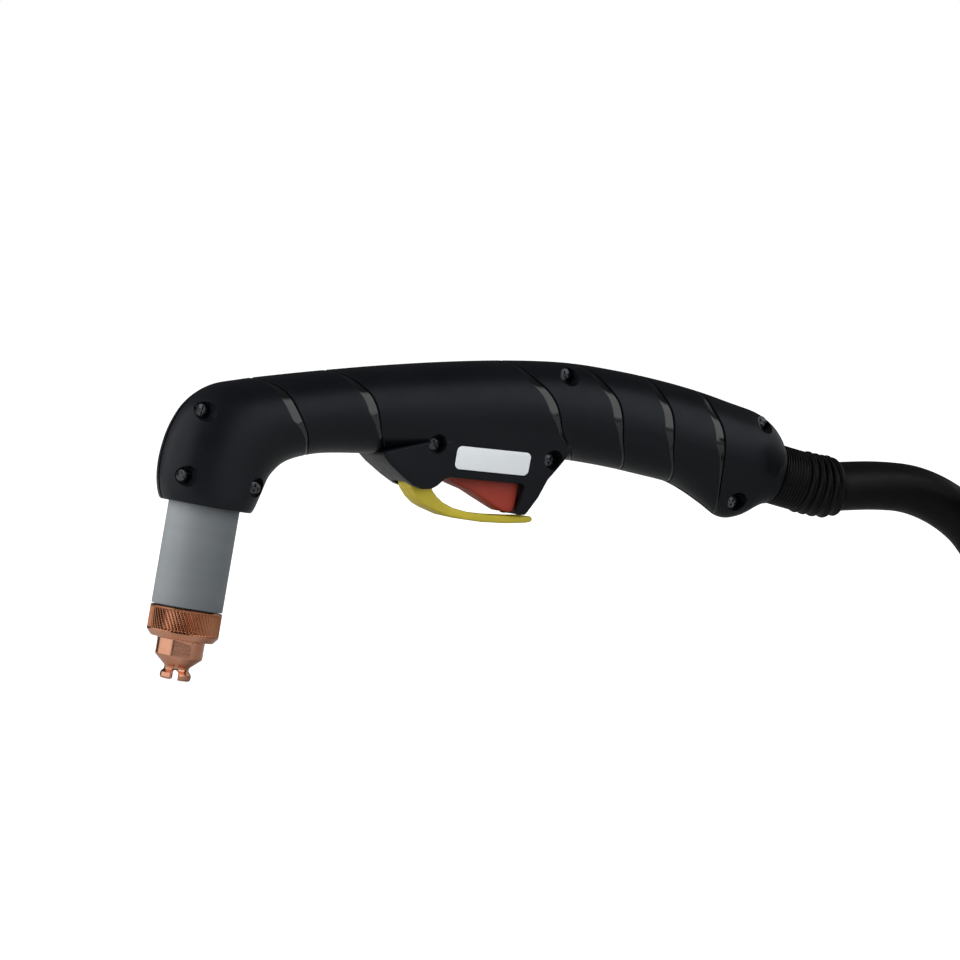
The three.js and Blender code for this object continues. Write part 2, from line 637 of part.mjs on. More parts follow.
function torchHead() {
  return turned([
    [3.7, 36.3], [HEAD_R, 36.3], [HEAD_R, 41.0], [HEAD_R - 1.2, 41.4], [HEAD_R - 1.2, 43.6], [HEAD_R, 44.0],
    [HEAD_R, 72.0], [6.0, 76.0], [6.0, 80.0], [3.4, 80.0], [3.4, 60.0], [3.7, 58.0],
  ], 20);
}

function headSealRing() {
  const seal = new THREE.TorusGeometry(HEAD_R - 0.35, 0.55, 6, 20);
  seal.translate(0, 0, 42.5);
  return solid(seal);
}

function headInsulator() {
  const bore = HEAD_R + 0.35;
  return turned([
    [bore, 44.5], [INSULATOR_R, 44.5], [INSULATOR_R, FLANGE_LOW], [FLANGE_R, FLANGE_LOW],
    [FLANGE_R, FLANGE_HIGH], [bore, FLANGE_HIGH],
  ], 24);
}

function addNozzleEnd(torch) {
  const head = new THREE.Group();
  head.applyMatrix4(nozzleFrame);
  put(head, "drag_shield", dragShield(), COPPER);
  put(head, "retaining_cap", retainingCap(), GREY);
  put(head, "nozzle", nozzle(), COPPER);
  put(head, "swirl_ring", swirlRing(), CREAM);
  put(head, "electrode", electrode(), COPPER);
  put(head, "torch_head", torchHead(), BRASS);
  put(head, "head_seal_ring", headSealRing(), RUBBER);
  put(head, "head_insulator", headInsulator(), BLACK);
  torch.add(head);
}

// ---------------------------------------------------------------- trigger group
function addTriggerGroup(torch) {
  put(torch, "trigger", trigger(), RED);
  const [tx, tz] = TRIGGER_PIVOT;
  const [lx, lz] = LEVER_PIVOT;
  const reach = TRIGGER_HALF + PIN_HOLD;
  put(torch, "trigger_pin", barY(frameX(tx), tz, PIN_R, -reach, reach, 16), STEEL);
  put(torch, "safety_lever", safetyLever(), YELLOW);
  put(torch, "lever_pin", barY(frameX(lx), lz, PIN_R, -reach, reach, 16), STEEL);
  put(torch, "trigger_spring", moved(coil(1.7, 0.28, 0.1, 5.0, 3), frameX(SPRING_X), 0, SPRING_Z), STEEL);
  const leverSpring = coil(HUB_R - 0.9, 0.3, 0, 1.6, 2).rotate([90, 0, 0]);
  put(torch, "lever_spring", moved(leverSpring, frameX(lx), TRIGGER_HALF - 0.1, lz), STEEL);
  addSwitch(torch);
}

function trigger() {
  const [px, pz] = TRIGGER_PIVOT;
  const outline = shifted([
    [px - HUB_R, pz], [px - 2.5, pz - 3.0], [px + 0.5, pz - 6.2], [-6.2, 67.3], [-1.8, 64.5], [4.2, 60.8],
    [6.6, 59.4], [9.0, 58.9], [10.8, 59.2], [11.6, 60.6], [13.3, 69.0], [13.4, 72.4],
    [9.8, 74.6], [3.0, 75.6], [-3.5, 76.9], [px + 1.2, pz + HUB_R - 0.2],
    [px - 1.2, pz + HUB_R - 0.2], [px - 2.6, pz + 2.0],
  ]);
  const pinHole = barY(frameX(px), pz, PIN_R + 0.06, -20, 20, 16);
  return plate(outline, -TRIGGER_HALF, TRIGGER_HALF).subtract(pinHole);
}

function safetyLever() {
  const [px, pz] = LEVER_PIVOT;
  const outline = shifted([
    [px - 3.6, pz + 1.4], [-29.7, 71.0], [-29.4, 68.9], [-27.5, 65.2], [-25.2, 62.9], [-22.2, 60.9],
    [-16.0, 58.2], [-9.0, 56.6], [-2.0, 55.5], [8.0, 54.8], [16.0, 54.8], [18.2, 55.2], [18.6, 56.2],
    [18.0, 57.2], [11.8, 57.4], [2.5, 58.0], [-6.6, 59.2], [-13.1, 61.0], [-17.2, 63.2], [-19.6, 65.4],
    [-21.4, 67.8], [px + HUB_R, pz - 0.6], [px + 2.4, pz + 2.2], [px, pz + HUB_R],
  ]);
  const pinHole = barY(frameX(px), pz, PIN_R + 0.06, -20, 20, 16);
  const springRoom = barY(frameX(px), pz, HUB_R + 1.2, 4.2, 20, 16);
  return plate(outline, -TRIGGER_HALF, TRIGGER_HALF).subtract(pinHole).subtract(springRoom);
}

function addSwitch(torch) {
  const plungerX = frameX(TRIGGER_PIVOT[0] + PLUNGER_ARM);
  const body = boxAt(frameX(1), 0, SWITCH_LOW + 4.2, 20, 6.4, 8.4);
  const bore = boxAt(plungerX, 0, SWITCH_LOW + 1.5, 2.7, 2.7, 5.2);
  put(torch, "micro_switch", body.subtract(bore), BLACK);
  const plungerHigh = SWITCH_LOW + 1.6;
  const plunger = boxAt(plungerX, 0, (PLUNGER_LOW + plungerHigh) / 2, 2.2, 2.2, plungerHigh - PLUNGER_LOW);
  put(torch, "switch_plunger", plunger, RED);
  [-1.8, 1.8].forEach((y, i) => {
    const wire = [
      [frameX(11.2), y, SWITCH_LOW + 6], [frameX(16), y, SWITCH_LOW + 6.3], [frameX(34), y, SWITCH_LOW + 5],
      [frameX(60), y, 80.0], [frameX(84), y, 74.5],
    ];
    put(torch, `switch_wire_${i + 1}`, tube(wire, 0.8, 6, 16), i ? BLUE : RED);
  });
}

// ---------------------------------------------------------------- what runs through the handle
function addInnards(torch) {
  const s = (d) => new THREE.Vector3(0, 0, d).applyMatrix4(nozzleFrame);
  const start = s(80.6);
  const second = s(84);
  const gasTube = [
    [start.x, 0, start.z], [second.x, 0, second.z], [frameX(-98.2), 0, 90.2], [frameX(-93), 0, 94.4],
    [frameX(-84), 0, 97.2], [frameX(-60), 0, 99.6], [frameX(-20), 0, 100.8], [frameX(20), 0, 99.6],
    [frameX(50), 0, 94.4], [frameX(74), 0, 88.2],
  ];
  put(torch, "gas_power_tube", tube(gasTube, 3.4, 8, 26), COPPER);
  const last = gasTube[gasTube.length - 1];
  const ferrule = turned([[0, 0.4], [5.4, 0.4], [5.4, 14], [4.4, 15.4], [0, 15.4]], 20);
  const lean = new THREE.Matrix4()
    .makeTranslation(last[0], 0, last[2])
    .multiply(new THREE.Matrix4().makeRotationY(Math.PI / 2 + rad(15)));
  put(torch, "lead_ferrule", ferrule.transform(lean.toArray()), BRASS);
  const leadStart = new THREE.Vector3(0, 0, 16.4).applyMatrix4(lean);
  const inner = [[leadStart.x, 0, leadStart.z], [frameX(100), 0, 79.2], ...RELIEF_ROUTE];
  put(torch, "lead_in_handle", tube(inner, LEAD_R, 12, 11), RUBBER);
  const pilot = [
    [frameX(-100), 7.5, 96], [frameX(-92), 7.2, 99], [frameX(-60), 6.4, 102], [frameX(-10), 6.2, 103],
    [frameX(40), 6.2, 99], [frameX(86), 5.5, 90],
  ];
  put(torch, "pilot_wire", tube(pilot, 1.3, 6, 18), WHITE);
}

// The strain relief: a smooth collar, a zone of fine ribs and a zone of coarse ones round the lead.
function strainRelief() {
  const points = RELIEF_ROUTE.map((p) => new THREE.Vector3(...p));
  const line = new THREE.CatmullRomCurve3(points, false, "centripetal");
  const marks = [
    [0, BOOT_FLANGE_R], [0.145, BOOT_FLANGE_R], [0.146, BOOT_NECK_R], [0.25, BOOT_NECK_R],
    [0.251, BOOT_R], [0.264, BOOT_R - 0.1],
  ];
  const fineFrom = 0.265;
  const fineTo = 0.54;
  for (let i = 0; i < FINE_RIBS; i++) {
    const a = fineFrom + ((fineTo - fineFrom) * (i + 0.25)) / FINE_RIBS;
    const b = fineFrom + ((fineTo - fineFrom) * (i + 0.75)) / FINE_RIBS;
    marks.push([a, BOOT_R - 0.8], [b, BOOT_R - 0.3]);
  }
  for (let i = 0; i < COARSE_RIBS; i++) {
    const a = fineTo + ((1 - fineTo) * (i + 0.2)) / COARSE_RIBS;
    const b = fineTo + ((1 - fineTo) * (i + 0.65)) / COARSE_RIBS;
    marks.push([a, BOOT_R - 1.5], [b, BOOT_R + (i < COARSE_RIBS - 1 ? 0.2 : -0.6)]);
  }
  marks.push([1, BOOT_R - 1.6]);
  const path = marks.map(([t]) => line.getPointAt(t));
  const outer = skin(ringsAlong(path, (i) => marks[i][1], RIB_POINTS));
  const bore = Array.from({ length: 11 }, (_, i) => line.getPointAt(i / 10));
  const before = bore[0].clone().addScaledVector(line.getTangentAt(0), -4);
  const after = bore[10].clone().addScaledVector(line.getTangentAt(1), 4);
  return outer.subtract(skin(ringsAlong([before, ...bore, after], () => LEAD_R + 0.6, 12)));
}

// ---------------------------------------------------------------- the lead's hank
const outerFold = INNER_FOLD + (LOOPS_PER_LAYER - 0.25) * LANE;

// A point of the hank by loops from its start: far run, fold, near run, fold. Each fold steps half a
// lane in or out, and each climb to the next layer runs along a far run where the spiral reverses.
function hankPath() {
  const points = [[HANK_X - STRAIGHT, HANK_Y, PLATE_Z]];
  const depth = LOOPS_PER_LAYER;
  const laneAt = (t) => {
    const inLayer = t % depth;
    return Math.floor(t / depth) % 2 ? depth - inLayer : inLayer;
  };
  const smooth = (u) => u * u * (3 - 2 * u);
  const height = (layer) => PLATE_Z + layer * LAYER;
  for (let loop = 0; loop < LOOPS; loop++) {
    const layer = Math.floor(loop / depth);
    const climbs = loop % depth === 0 && loop > 0;
    const runLane = laneAt(loop);
    const farY = HANK_Y - runLane * LANE;
    for (let i = 0; i < RUN_STEPS; i++) {
      const u = i / RUN_STEPS;
      const z = climbs ? height(layer - 1) + smooth(u) * LAYER : height(layer);
      points.push([HANK_X + RUN * u, farY - WAIST * Math.sin(Math.PI * u) ** 2, z]);
    }
    for (const side of [1, -1]) {
      const from = side > 0 ? loop : loop + 0.5;
      for (let i = 0; i < FOLD_STEPS; i++) {
        const u = i / FOLD_STEPS;
        const lane = Math.floor(from / depth) % 2 ? depth - (from % depth) - u / 2 : (from % depth) + u / 2;
        const r = outerFold - lane * LANE;
        const a = Math.PI * (0.5 - u);
        const x = (side > 0 ? HANK_X + RUN : HANK_X) + side * r * Math.cos(a);
        points.push([x, HANK_Y - outerFold + side * r * Math.sin(a), height(layer)]);
      }
      if (side < 0) continue;
      const last = loop === LOOPS - 1;
      const mid = loop + 0.5;
      const lane = Math.floor(mid / depth) % 2 ? depth - (mid % depth) : mid % depth;
      const nearY = HANK_Y - 2 * outerFold + lane * LANE;
      for (let i = 0; i < RUN_STEPS; i++) {
        const u = i / RUN_STEPS;
        points.push([HANK_X + RUN * (1 - u), nearY + WAIST * Math.sin(Math.PI * u) ** 2, height(layer)]);
      }
      if (!last) continue;
      points.push([HANK_X + STRAIGHT, nearY, TOP_Z], [HANK_X, nearY, TOP_Z]);
      return points.map((p) => new THREE.Vector3(...p));
    }
  }
}

// The last stretch: on from the hank's near run, round one more fold that climbs, into the connector.
function tailPath() {
  const nearY = HANK_Y - 2 * outerFold + LANE / 2;
  const r = (PLUG_Y - nearY) / 2;
  const foldX = HANK_X - FIT_GAP - STRAIGHT;
  const fold = Array.from({ length: TAIL_STEPS + 1 }, (_, i) => {
    const u = i / TAIL_STEPS;
    const a = Math.PI * u;
    const z = TOP_Z + (PLUG_Z - TOP_Z) * u * u * (3 - 2 * u);
    return [foldX - r * Math.sin(a), nearY + r * (1 - Math.cos(a)), z];
  });
  const before = [[HANK_X - FIT_GAP, nearY, TOP_Z], [HANK_X - FIT_GAP - STRAIGHT / 2, nearY, TOP_Z]];
  const after = [[PLUG_X - STRAIGHT, PLUG_Y, PLUG_Z], [PLUG_X - FIT_GAP, PLUG_Y, PLUG_Z]];
  return [...before, ...fold, ...after];
}

function selfGap(path, radius) {
  const perLoop = 2 * (FOLD_STEPS + RUN_STEPS);
  let least = Infinity;
  for (let i = 0; i + 1 < path.length; i++) {
    const segment = new THREE.Line3(path[i], path[i + 1]);
    for (let k = i + perLoop / 2; k < path.length; k++) {
      const near = segment.closestPointToPoint(path[k], true, new THREE.Vector3());
      least = Math.min(least, near.distanceTo(path[k]));
    }
  }
  return least - 2 * radius;
}

function pathLength(points) {
  return points.slice(1).reduce((sum, p, i) => sum + p.distanceTo(points[i]), 0);
}

function tie(x, y, width, height) {
  const outer = new THREE.Shape();
  const w = width / 2 + TIE_T;
  const r = LEAD_R;
  outer.moveTo(-w + r, 0);
  outer.lineTo(w - r, 0);
  outer.absarc(w - r, r, r, -Math.PI / 2, 0, false);
  outer.absarc(w - r, height + 2 * TIE_T - r, r, 0, Math.PI / 2, false);
  outer.absarc(-w + r, height + 2 * TIE_T - r, r, Math.PI / 2, Math.PI, false);
  outer.absarc(-w + r, r, r, Math.PI, 1.5 * Math.PI, false);
  const inner = new THREE.Path();
  const v = width / 2;
  const q = r - TIE_T;
  inner.moveTo(-v + q, TIE_T);
  inner.absarc(-v + q, TIE_T + q, q, 1.5 * Math.PI, Math.PI, true);
  inner.absarc(-v + q, height + TIE_T - q, q, Math.PI, Math.PI / 2, true);
  inner.absarc(v - q, height + TIE_T - q, q, Math.PI / 2, 0, true);
  inner.absarc(v - q, TIE_T + q, q, 0, -Math.PI / 2, true);
  outer.holes.push(inner);
  const geometry = new THREE.ExtrudeGeometry(outer, { depth: TIE_W, bevelEnabled: false, curveSegments: 4 });
  geometry.rotateX(Math.PI / 2);
  geometry.rotateZ(Math.PI / 2);
  geometry.translate(x, y, 0);
  return solid(geometry);
}

function addLead(torch) {
  put(torch, "strain_relief", strainRelief(), RUBBER);
  put(torch, "lead", tube(LEAD_ROUTE, LEAD_R, 12, 15), RUBBER);
  const path = hankPath();
  put(torch, "lead_hank", skin(ringsAlong(path, () => LEAD_R, HANK_SIDES)), RUBBER);
  const tail = tailPath();
  put(torch, "lead_tail", tube(tail, LEAD_R, 8, 20), RUBBER);
  const vectors = (points) => points.map((p) => new THREE.Vector3(...p));
  const total = pathLength(path) + pathLength(vectors(LEAD_ROUTE)) + pathLength(vectors(tail));
  const least = selfGap(path, LEAD_R);
  console.log(`hank: least gap to itself ${least.toFixed(2)} mm, lead ${total.toFixed(0)} mm`);
  const stack = (FULL_LAYERS - 1) * LAYER + 2 * LEAD_R + 2 * FIT_GAP;
  const slack = 2 * FIT_GAP + 1;
  const farWide = LOOPS_PER_LAYER * LANE + 2 * LEAD_R + slack;
  const nearWide = (LOOPS_PER_LAYER - 1) * LANE + 2 * LEAD_R + slack;
  const farMid = HANK_Y - (LOOPS_PER_LAYER * LANE) / 2;
  const nearMid = HANK_Y - 2 * outerFold + (LOOPS_PER_LAYER * LANE) / 2 + WAIST;
  put(torch, "hank_tie_far", tie(HANK_X - 12, farMid - 0.6, farWide + 2, stack + 1.2), BLACK);
  put(torch, "hank_tie_near", tie(HANK_X + RUN / 2 - TIE_W / 2, nearMid, nearWide, stack + LAYER), BLACK);
}

// ---------------------------------------------------------------- connector
function alongX(body) {
  return moved(body.rotate([0, 90, 0]), PLUG_X, PLUG_Y, PLUG_Z);
}

function addConnector(torch) {
  const boot = turned([[0, 0], [11.5, 0], [14.5, 24], [16.2, 28], [0, 28]], 20);
  const floor = PLUG_FACE - PLUG_ROOM;
  const body = turned([
    [0, 28.2], [16.5, 28.2], [20.5, 33], [21.0, 54], [23.5, 57], [PLUG_R, 58], [PLUG_R, 66],
    [18.5, 66], [18.5, 86], [18.0, PLUG_FACE], [15.0, PLUG_FACE], [15.0, floor], [0, floor],
  ], 28);
  put(torch, "connector_boot", alongX(boot), RUBBER);
  put(torch, "connector_body", alongX(body), BLACK);
  const ring = turned([[18.9, 66.4], [PLUG_RING_R, 66.4], [PLUG_RING_R, 83], [22.6, 86], [18.9, 86]], 24);
  put(torch, "connector_ring", alongX(ring), STEEL);
  const pins = [
    ["power_pin", 0, 0, 4.5, 11], ["signal_pin_1", 9.5, 6, 1.6, 9], ["signal_pin_2", 9.5, -6, 1.6, 9],
  ];
  pins.forEach(([name, x, y, r, long]) => {
    put(torch, name, alongX(moved(disc(r, floor, floor + long, 14), x, y, 0)), BRASS);
  });
}

// ---------------------------------------------------------------- assembly
const torch = new THREE.Group();
addCasing(torch);
addNozzleEnd(torch);
addTriggerGroup(torch);
addInnards(torch);
addLead(torch);
addConnector(torch);

export default torch;
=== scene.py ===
"""The looks of a hand plasma cutting torch with its lead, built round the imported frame.

Lengths in the tables below are millimetres in the part's own frame, and become metres in mesh_object.
"""
import math

import bpy
import numpy as np
from mathutils import Matrix, Vector


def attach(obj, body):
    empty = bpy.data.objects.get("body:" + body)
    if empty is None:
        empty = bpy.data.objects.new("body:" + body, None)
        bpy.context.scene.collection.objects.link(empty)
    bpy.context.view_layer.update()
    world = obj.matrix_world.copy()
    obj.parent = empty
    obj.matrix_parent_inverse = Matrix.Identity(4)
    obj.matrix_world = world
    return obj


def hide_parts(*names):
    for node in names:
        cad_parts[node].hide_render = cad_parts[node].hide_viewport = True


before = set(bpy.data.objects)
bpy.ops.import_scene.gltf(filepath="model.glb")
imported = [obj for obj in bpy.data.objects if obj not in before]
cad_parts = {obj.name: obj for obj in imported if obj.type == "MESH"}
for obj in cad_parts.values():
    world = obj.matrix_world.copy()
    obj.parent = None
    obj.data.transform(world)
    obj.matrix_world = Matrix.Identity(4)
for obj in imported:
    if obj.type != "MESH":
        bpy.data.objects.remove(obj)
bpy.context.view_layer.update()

MM = 0.001

# ---- driving dimensions (mm, degrees)
SHELL_SHIFT_X = -9.4  # from the measuring frame of the side outlines to X = 0
GRIP_HALF = 17.0
ROUNDNESS = 2.15  # exponent of the grip's section, where 2 is an ellipse
WALL = 2.4
FIT_GAP = 0.3  # between pieces that lie still
RUN_GAP = 0.5  # between pieces that move
EDGE_BEVEL = 0.15  # of the CAD nodes that are seen as they are
NOZZLE_TILT = 10.4
NOZZLE_BASE = (-128.5, 0.0, 0.921)  # middle of the crown's tip
CROWN_TURN = -112.0  # a slot of the crown faces this way round the nozzle's axis
FLAT_TURN = -102.0  # and a milled flat of the neck this way
TRIGGER_HALF = 6.4
FOOT_Z = 68.0
FOOT_HALF = TRIGGER_HALF + RUN_GAP + 4.2
FLANK_TOP_Z = 96.0
FLANK_SLOPE = (GRIP_HALF - FOOT_HALF) / (FLANK_TOP_Z - FOOT_Z)
LUG = (101.8, 60.6)
LUG_HALF = 8.5
LUG_DRAW_IN = 0.32  # share of the half width that the belly loses over the lug
LEAD_R = 9.5

# Each station: back point, belly point (side view, measuring frame) and half width over GRIP_HALF
STATIONS = [
    (-123.9, 66.4, -90.6, 60.2, 1.0), (-124.7, 74.5, -87.2, 67.3, 1.018),
    (-123.4, 83.6, -84.4, 73.2, 1.029), (-119.8, 93.4, -81.4, 76.6, 1.029),
    (-113.8, 101.8, -78.4, 78.7, 1.018), (-104.9, 107.3, -74.8, 80.1, 1.0),
    (-93.5, 109.3, -70.0, 81.2, 0.988), (-78.0, 110.9, -64.0, 81.9, 0.976),
    (-60.0, 112.4, -55.0, 81.9, 0.976), (-38.0, 113.9, -37.0, 81.2, 0.976),
    (-12.0, 115.0, -12.0, 80.6, 0.988), (12.0, 115.2, 10.0, 80.2, 1.0),
    (34.0, 114.2, 31.0, 78.2, 1.0), (54.0, 111.2, 50.0, 75.0, 1.0),
    (72.0, 107.4, 66.5, 71.2, 1.0), (88.0, 103.1, 81.5, 67.6, 1.0),
    (102.0, 98.4, 95.5, 64.4, 0.976), (112.0, 94.9, 106.0, 61.9, 0.918),
    (118.0, 91.0, 112.0, 60.6, 0.800), (121.6, 86.9, 115.6, 60.0, 0.718),
    (123.6, 82.8, 117.4, 59.6, 0.700),
]
# How far the belly drops to form the lug, against the belly's x in the measuring frame
LUG_X = [70, 76, 81, 85.7, 93.6, 98.1, 101.8, 103.8, 108.3, 111.7, 115, 117.4]
LUG_DROP = [0, 0, 1.2, 2.8, 6.1, 8.6, 8.9, 8.1, 6.0, 2.9, 0.6, 0]
HOUSING_OUTLINE = [
    (-44.6, 82.6), (-40.8, 78.2), (-35.3, 73.3), (-30.8, 69.9),
    (-27.0, 68.4), (-23.6, 68.4), (-21.2, 69.6), (-18.6, 71.9), (-16.4, 72.6), (13.9, 69.3),
    (12.2, 63.0), (10.2, 57.9), (14.8, 57.9), (19.4, 64.3), (22.7, 70.9), (25.8, 74.5),
    (29.1, 78.5), (31.9, 82.5), (29.0, 86.5), (-24.0, 86.5),
]
SLOT_OUTLINE = [(-32.4, 60), (13.4, 50), (13.4, 62.0), (15.2, 64.0), (15.2, 90), (-32.4, 90)]
TRIGGER_PIVOT = (-13.0, 76.2)
LEVER_PIVOT = (-25.0, 72.6)
HUB_R = 3.2
PIN_R = 1.5
SCREWS = [
    (-110.8, 98.4), (-118.6, 75.2), (-91.2, 70.2), (-22.2, 85.0),
    (24.2, 78.1), (31.0, 109.6), LUG, (113.2, 90.6),
]
COUNTERBORE_R = 3.2
HEAD_RECESS = 3.2  # of the screws under the surface
BOSS_R = 4.1
SEAM_DEPTH = 0.8
TAIL_MIDDLE = (120.5, 71.2)  # of the casing's rear end
LABEL = {"x": 0.0, "z": 78.4, "length": 29.6, "height": 8.8, "corner": 2.0, "tilt": -6.5}

# Where each groove crosses the casing, as t along the stations, at these heights round the section
# (-90 degrees is the belly, 0 the flank, 90 the back)
GROOVE_HEIGHTS = [-90, -55, -25, 0, 20, 40, 90]
GROOVES = [
    (0.3050, 0.3055, 0.3225, 0.3290, 0.3325, 0.3335, 0.3150),
    (0.4460, 0.4385, 0.4325, 0.4305, 0.4267, 0.4176, 0.3975),
    (0.6150, 0.6020, 0.5880, 0.5825, 0.5735, 0.5597, 0.5427),
    (0.6700, 0.6612, 0.6512, 0.6475, 0.6420, 0.6291, 0.6065),
    (0.7340, 0.7250, 0.7130, 0.7085, 0.7045, 0.6945, 0.6770),
    (0.8110, 0.7990, 0.7850, 0.7790, 0.7725, 0.7600, 0.7490),
]
ROWS_BEFORE_GROOVE = [56, 18, 26, 8, 9, 10]
# A groove is a wide slope, glossy, that ends in a deeper slit: its width and depth against the height
WIDTH_HEIGHTS = [-90, -40, -16, -2, 35, 60, 85]
GROOVE_WIDTHS = [0.9, 1.1, 2.2, 4.0, 4.0, 2.4, 1.2]
DEPTH_HEIGHTS = [-90, -40, 0]
GROOVE_DEPTHS = [0.35, 0.5, 0.6]
SLIT_DEPTH = 0.55
FACET_HEIGHT = -7.0  # degrees round the section where the rear flanks break into a flat lower part
FACET_LEAN = 0.24
FACET_SPAN = (0.55, 0.66, 0.84, 0.97)  # as t: it starts, is full, fades and ends
HOUSING_SPAN = (-27, -8, 27.5, 36)  # as x in the measuring frame, of the flat over the trigger housing
HALVES_GAP = 0.02  # from the middle plane to each half's cut face
RIM_R = 1.1  # rounding of the casing's edge round the cap
TAIL_R = 2.6  # and of its edge round the strain relief

# The lead: listed points, then the hank's formula
LEAD_ROUTE = [
    (138.3, 0, 65.4), (155.8, 0, 65.4), (170.8, 0, 63.6), (184.3, 0.1, 58.3), (196.3, 0.5, 49.9),
    (206.3, 1.2, 38.4), (216.3, 2.2, 27.0), (228.3, 3.7, 18.5), (241.8, 5.4, 13.2), (256.8, 6.7, 11.3),
    (266.8, 7, 11.3),
]
RELIEF_ROUTE = [
    (103, 0, 73.4), (108.8, 0, 71.8), (117.3, 0, 69.3), (128.3, 0, 66.4), (133.8, 0, 65.5), (138.2, 0, 65.4),
]
LANE = 2 * LEAD_R + 1
LAYER = 2 * LEAD_R + 0.5
LOOPS = 9
PER_LAYER = 2  # loops
FULL_LAYERS = LOOPS // PER_LAYER  # the last loop lies alone on these
LEAST_FOLD = 57
OUTER_FOLD = LEAST_FOLD + (PER_LAYER - 0.25) * LANE
RUN = 92.3
WAIST = 4  # how far the straps draw the runs in
RUN_STEPS = 3
FOLD_STEPS = 8
TAIL_STEPS = 12
POINTS_PER_KNOT = 8
HANK_X = 296.8
HANK_Y = 7
NEAR_Y = HANK_Y - 2 * OUTER_FOLD  # of the outermost near run, as HANK_Y is of the far one
PLATE_Z = 11.3
TOP_Z = PLATE_Z + FULL_LAYERS * LAYER
STRAIGHT = 2 * LEAD_R
PLUG_RING_R = 25
PLUG_Y = -27.0
PLUG_ASIDE = PLUG_Y - (HANK_Y - 2 * LANE)  # from the middle of the run that bears the connector
PLUG_Z = TOP_Z - LAYER + math.sqrt((LEAD_R + RUN_GAP + PLUG_RING_R) ** 2 - PLUG_ASIDE**2)
PLUG = (HANK_X + STRAIGHT, PLUG_Y, PLUG_Z)
SOCKET_FLOOR = 74  # along the connector, where its pins stand
# Each pin: node, place across the connector, radius and length
PINS = [("power_pin", 0, 0, 4.5, 11), ("signal_pin_1", 9.5, 6, 1.6, 9), ("signal_pin_2", 9.5, -6, 1.6, 9)]
TIE_T = 1.5
TIE_W = 20

# ---- camera and light
VIEW_AIM = (-9.4, 0, 70.8)
VIEW_TURN, VIEW_RISE, VIEW_FIELD = 22, 3, 14  # degrees
VIEW_WIDTH = 960 * 0.372  # of the view at the torch
LAMP_AIM = (0, 0, 70)
MATT_FILL = 0.22
GLOSS_FILL = 0.05
PATCH_EDGE = 4  # degrees either side of a patch's edge over which it fades
# Azimuth, elevation, half width and level of each patch of the world that gloss mirrors
PATCHES = [(-100, 15, 42, 0.85), (42, 17, 33, 1.1), (100, 0, 35, 0.5)]
FLOOR_HALF = 9000
FLOOR_SHADE = 0.38
FLOOR_GLOW = (0.88, 1.0)  # to the camera, near the torch and far from it
FLOOR_GLOW_REACH = (0.25, 0.9)  # metres


def side(x):
    return x + SHELL_SHIFT_X


def flank_half(z):
    """Half width of the trigger housing, whose flanks lean in downwards."""
    return FOOT_HALF + FLANK_SLOPE * (z - FOOT_Z)


# ---- camera, lights, floor
def towards(azimuth, elevation):
    """A direction from the torch; azimuth 0 is towards -Y and positive towards +X."""
    a, e = math.radians(azimuth), math.radians(elevation)
    return Vector((math.sin(a) * math.cos(e), -math.cos(a) * math.cos(e), math.sin(e)))


def new_object(name, data):
    made = bpy.data.objects.new(name, data)
    bpy.context.scene.collection.objects.link(made)
    return made


def stand(name, data, aim, azimuth, elevation, distance):
    """A camera or lamp that looks at the aim (mm) from a distance in metres."""
    away = towards(azimuth, elevation)
    standing = new_object(name, data)
    standing.location = Vector(aim) * MM + away * distance
    standing.rotation_euler = (-away).to_track_quat("-Z", "Y").to_euler()
    return standing


def make_camera():
    data = bpy.data.cameras.new("camera")
    half_field = math.tan(math.radians(VIEW_FIELD) / 2)
    data.sensor_width = 36
    data.lens = data.sensor_width / 2 / half_field
    data.clip_start = 0.05
    distance = VIEW_WIDTH * MM / 2 / half_field
    bpy.context.scene.camera = stand("camera", data, VIEW_AIM, -VIEW_TURN, VIEW_RISE, distance)


def softbox(name, azimuth, elevation, distance, size, radiance, colour):
    """A softbox facing the torch. It lights surfaces only; what gloss mirrors is in the world."""
    data = bpy.data.lights.new(name, "AREA")
    data.shape = "RECTANGLE"
    data.size, data.size_y = size
    data.energy = radiance * math.pi * size[0] * size[1]
    data.color = colour
    lamp = stand(name, data, LAMP_AIM, azimuth, elevation, distance)
    lamp.visible_glossy = False


def node(tree, kind, output=0, inputs=(), **settings):
    """A shader node; inputs holds numbers or sockets by name or place. Gives back one output."""
    made = tree.nodes.new("ShaderNode" + kind)
    for name, value in settings.items():
        setattr(made, name, value)
    for name, value in dict(inputs).items():
        if isinstance(value, bpy.types.NodeSocket):
            tree.links.new(value, made.inputs[name])
        else:
            made.inputs[name].default_value = value
    return made.outputs[output] if made.outputs else made


def math_node(tree, operation, *values):
    return node(tree, "Math", inputs=enumerate(values), operation=operation)


def map_range(tree, value, start, stop, low, high):
    numbers = {"Value": value, "From Min": start, "From Max": stop, "To Min": low, "To Max": high}
    return node(tree, "MapRange", "Result", numbers)


def bright_patch(tree, azimuth, elevation, half_width, level):
    """A round patch of the world, with a soft edge, as a softbox looks in a mirror."""
    ray = node(tree, "TexCoord", "Generated")
    middle = towards(azimuth, elevation)
    facing = node(tree, "VectorMath", "Value", {0: ray, 1: middle}, operation="DOT_PRODUCT")
    outer, inner = (math.cos(math.radians(half_width + e)) for e in (PATCH_EDGE, -PATCH_EDGE))
    return map_range(tree, facing, outer, inner, 0, level)


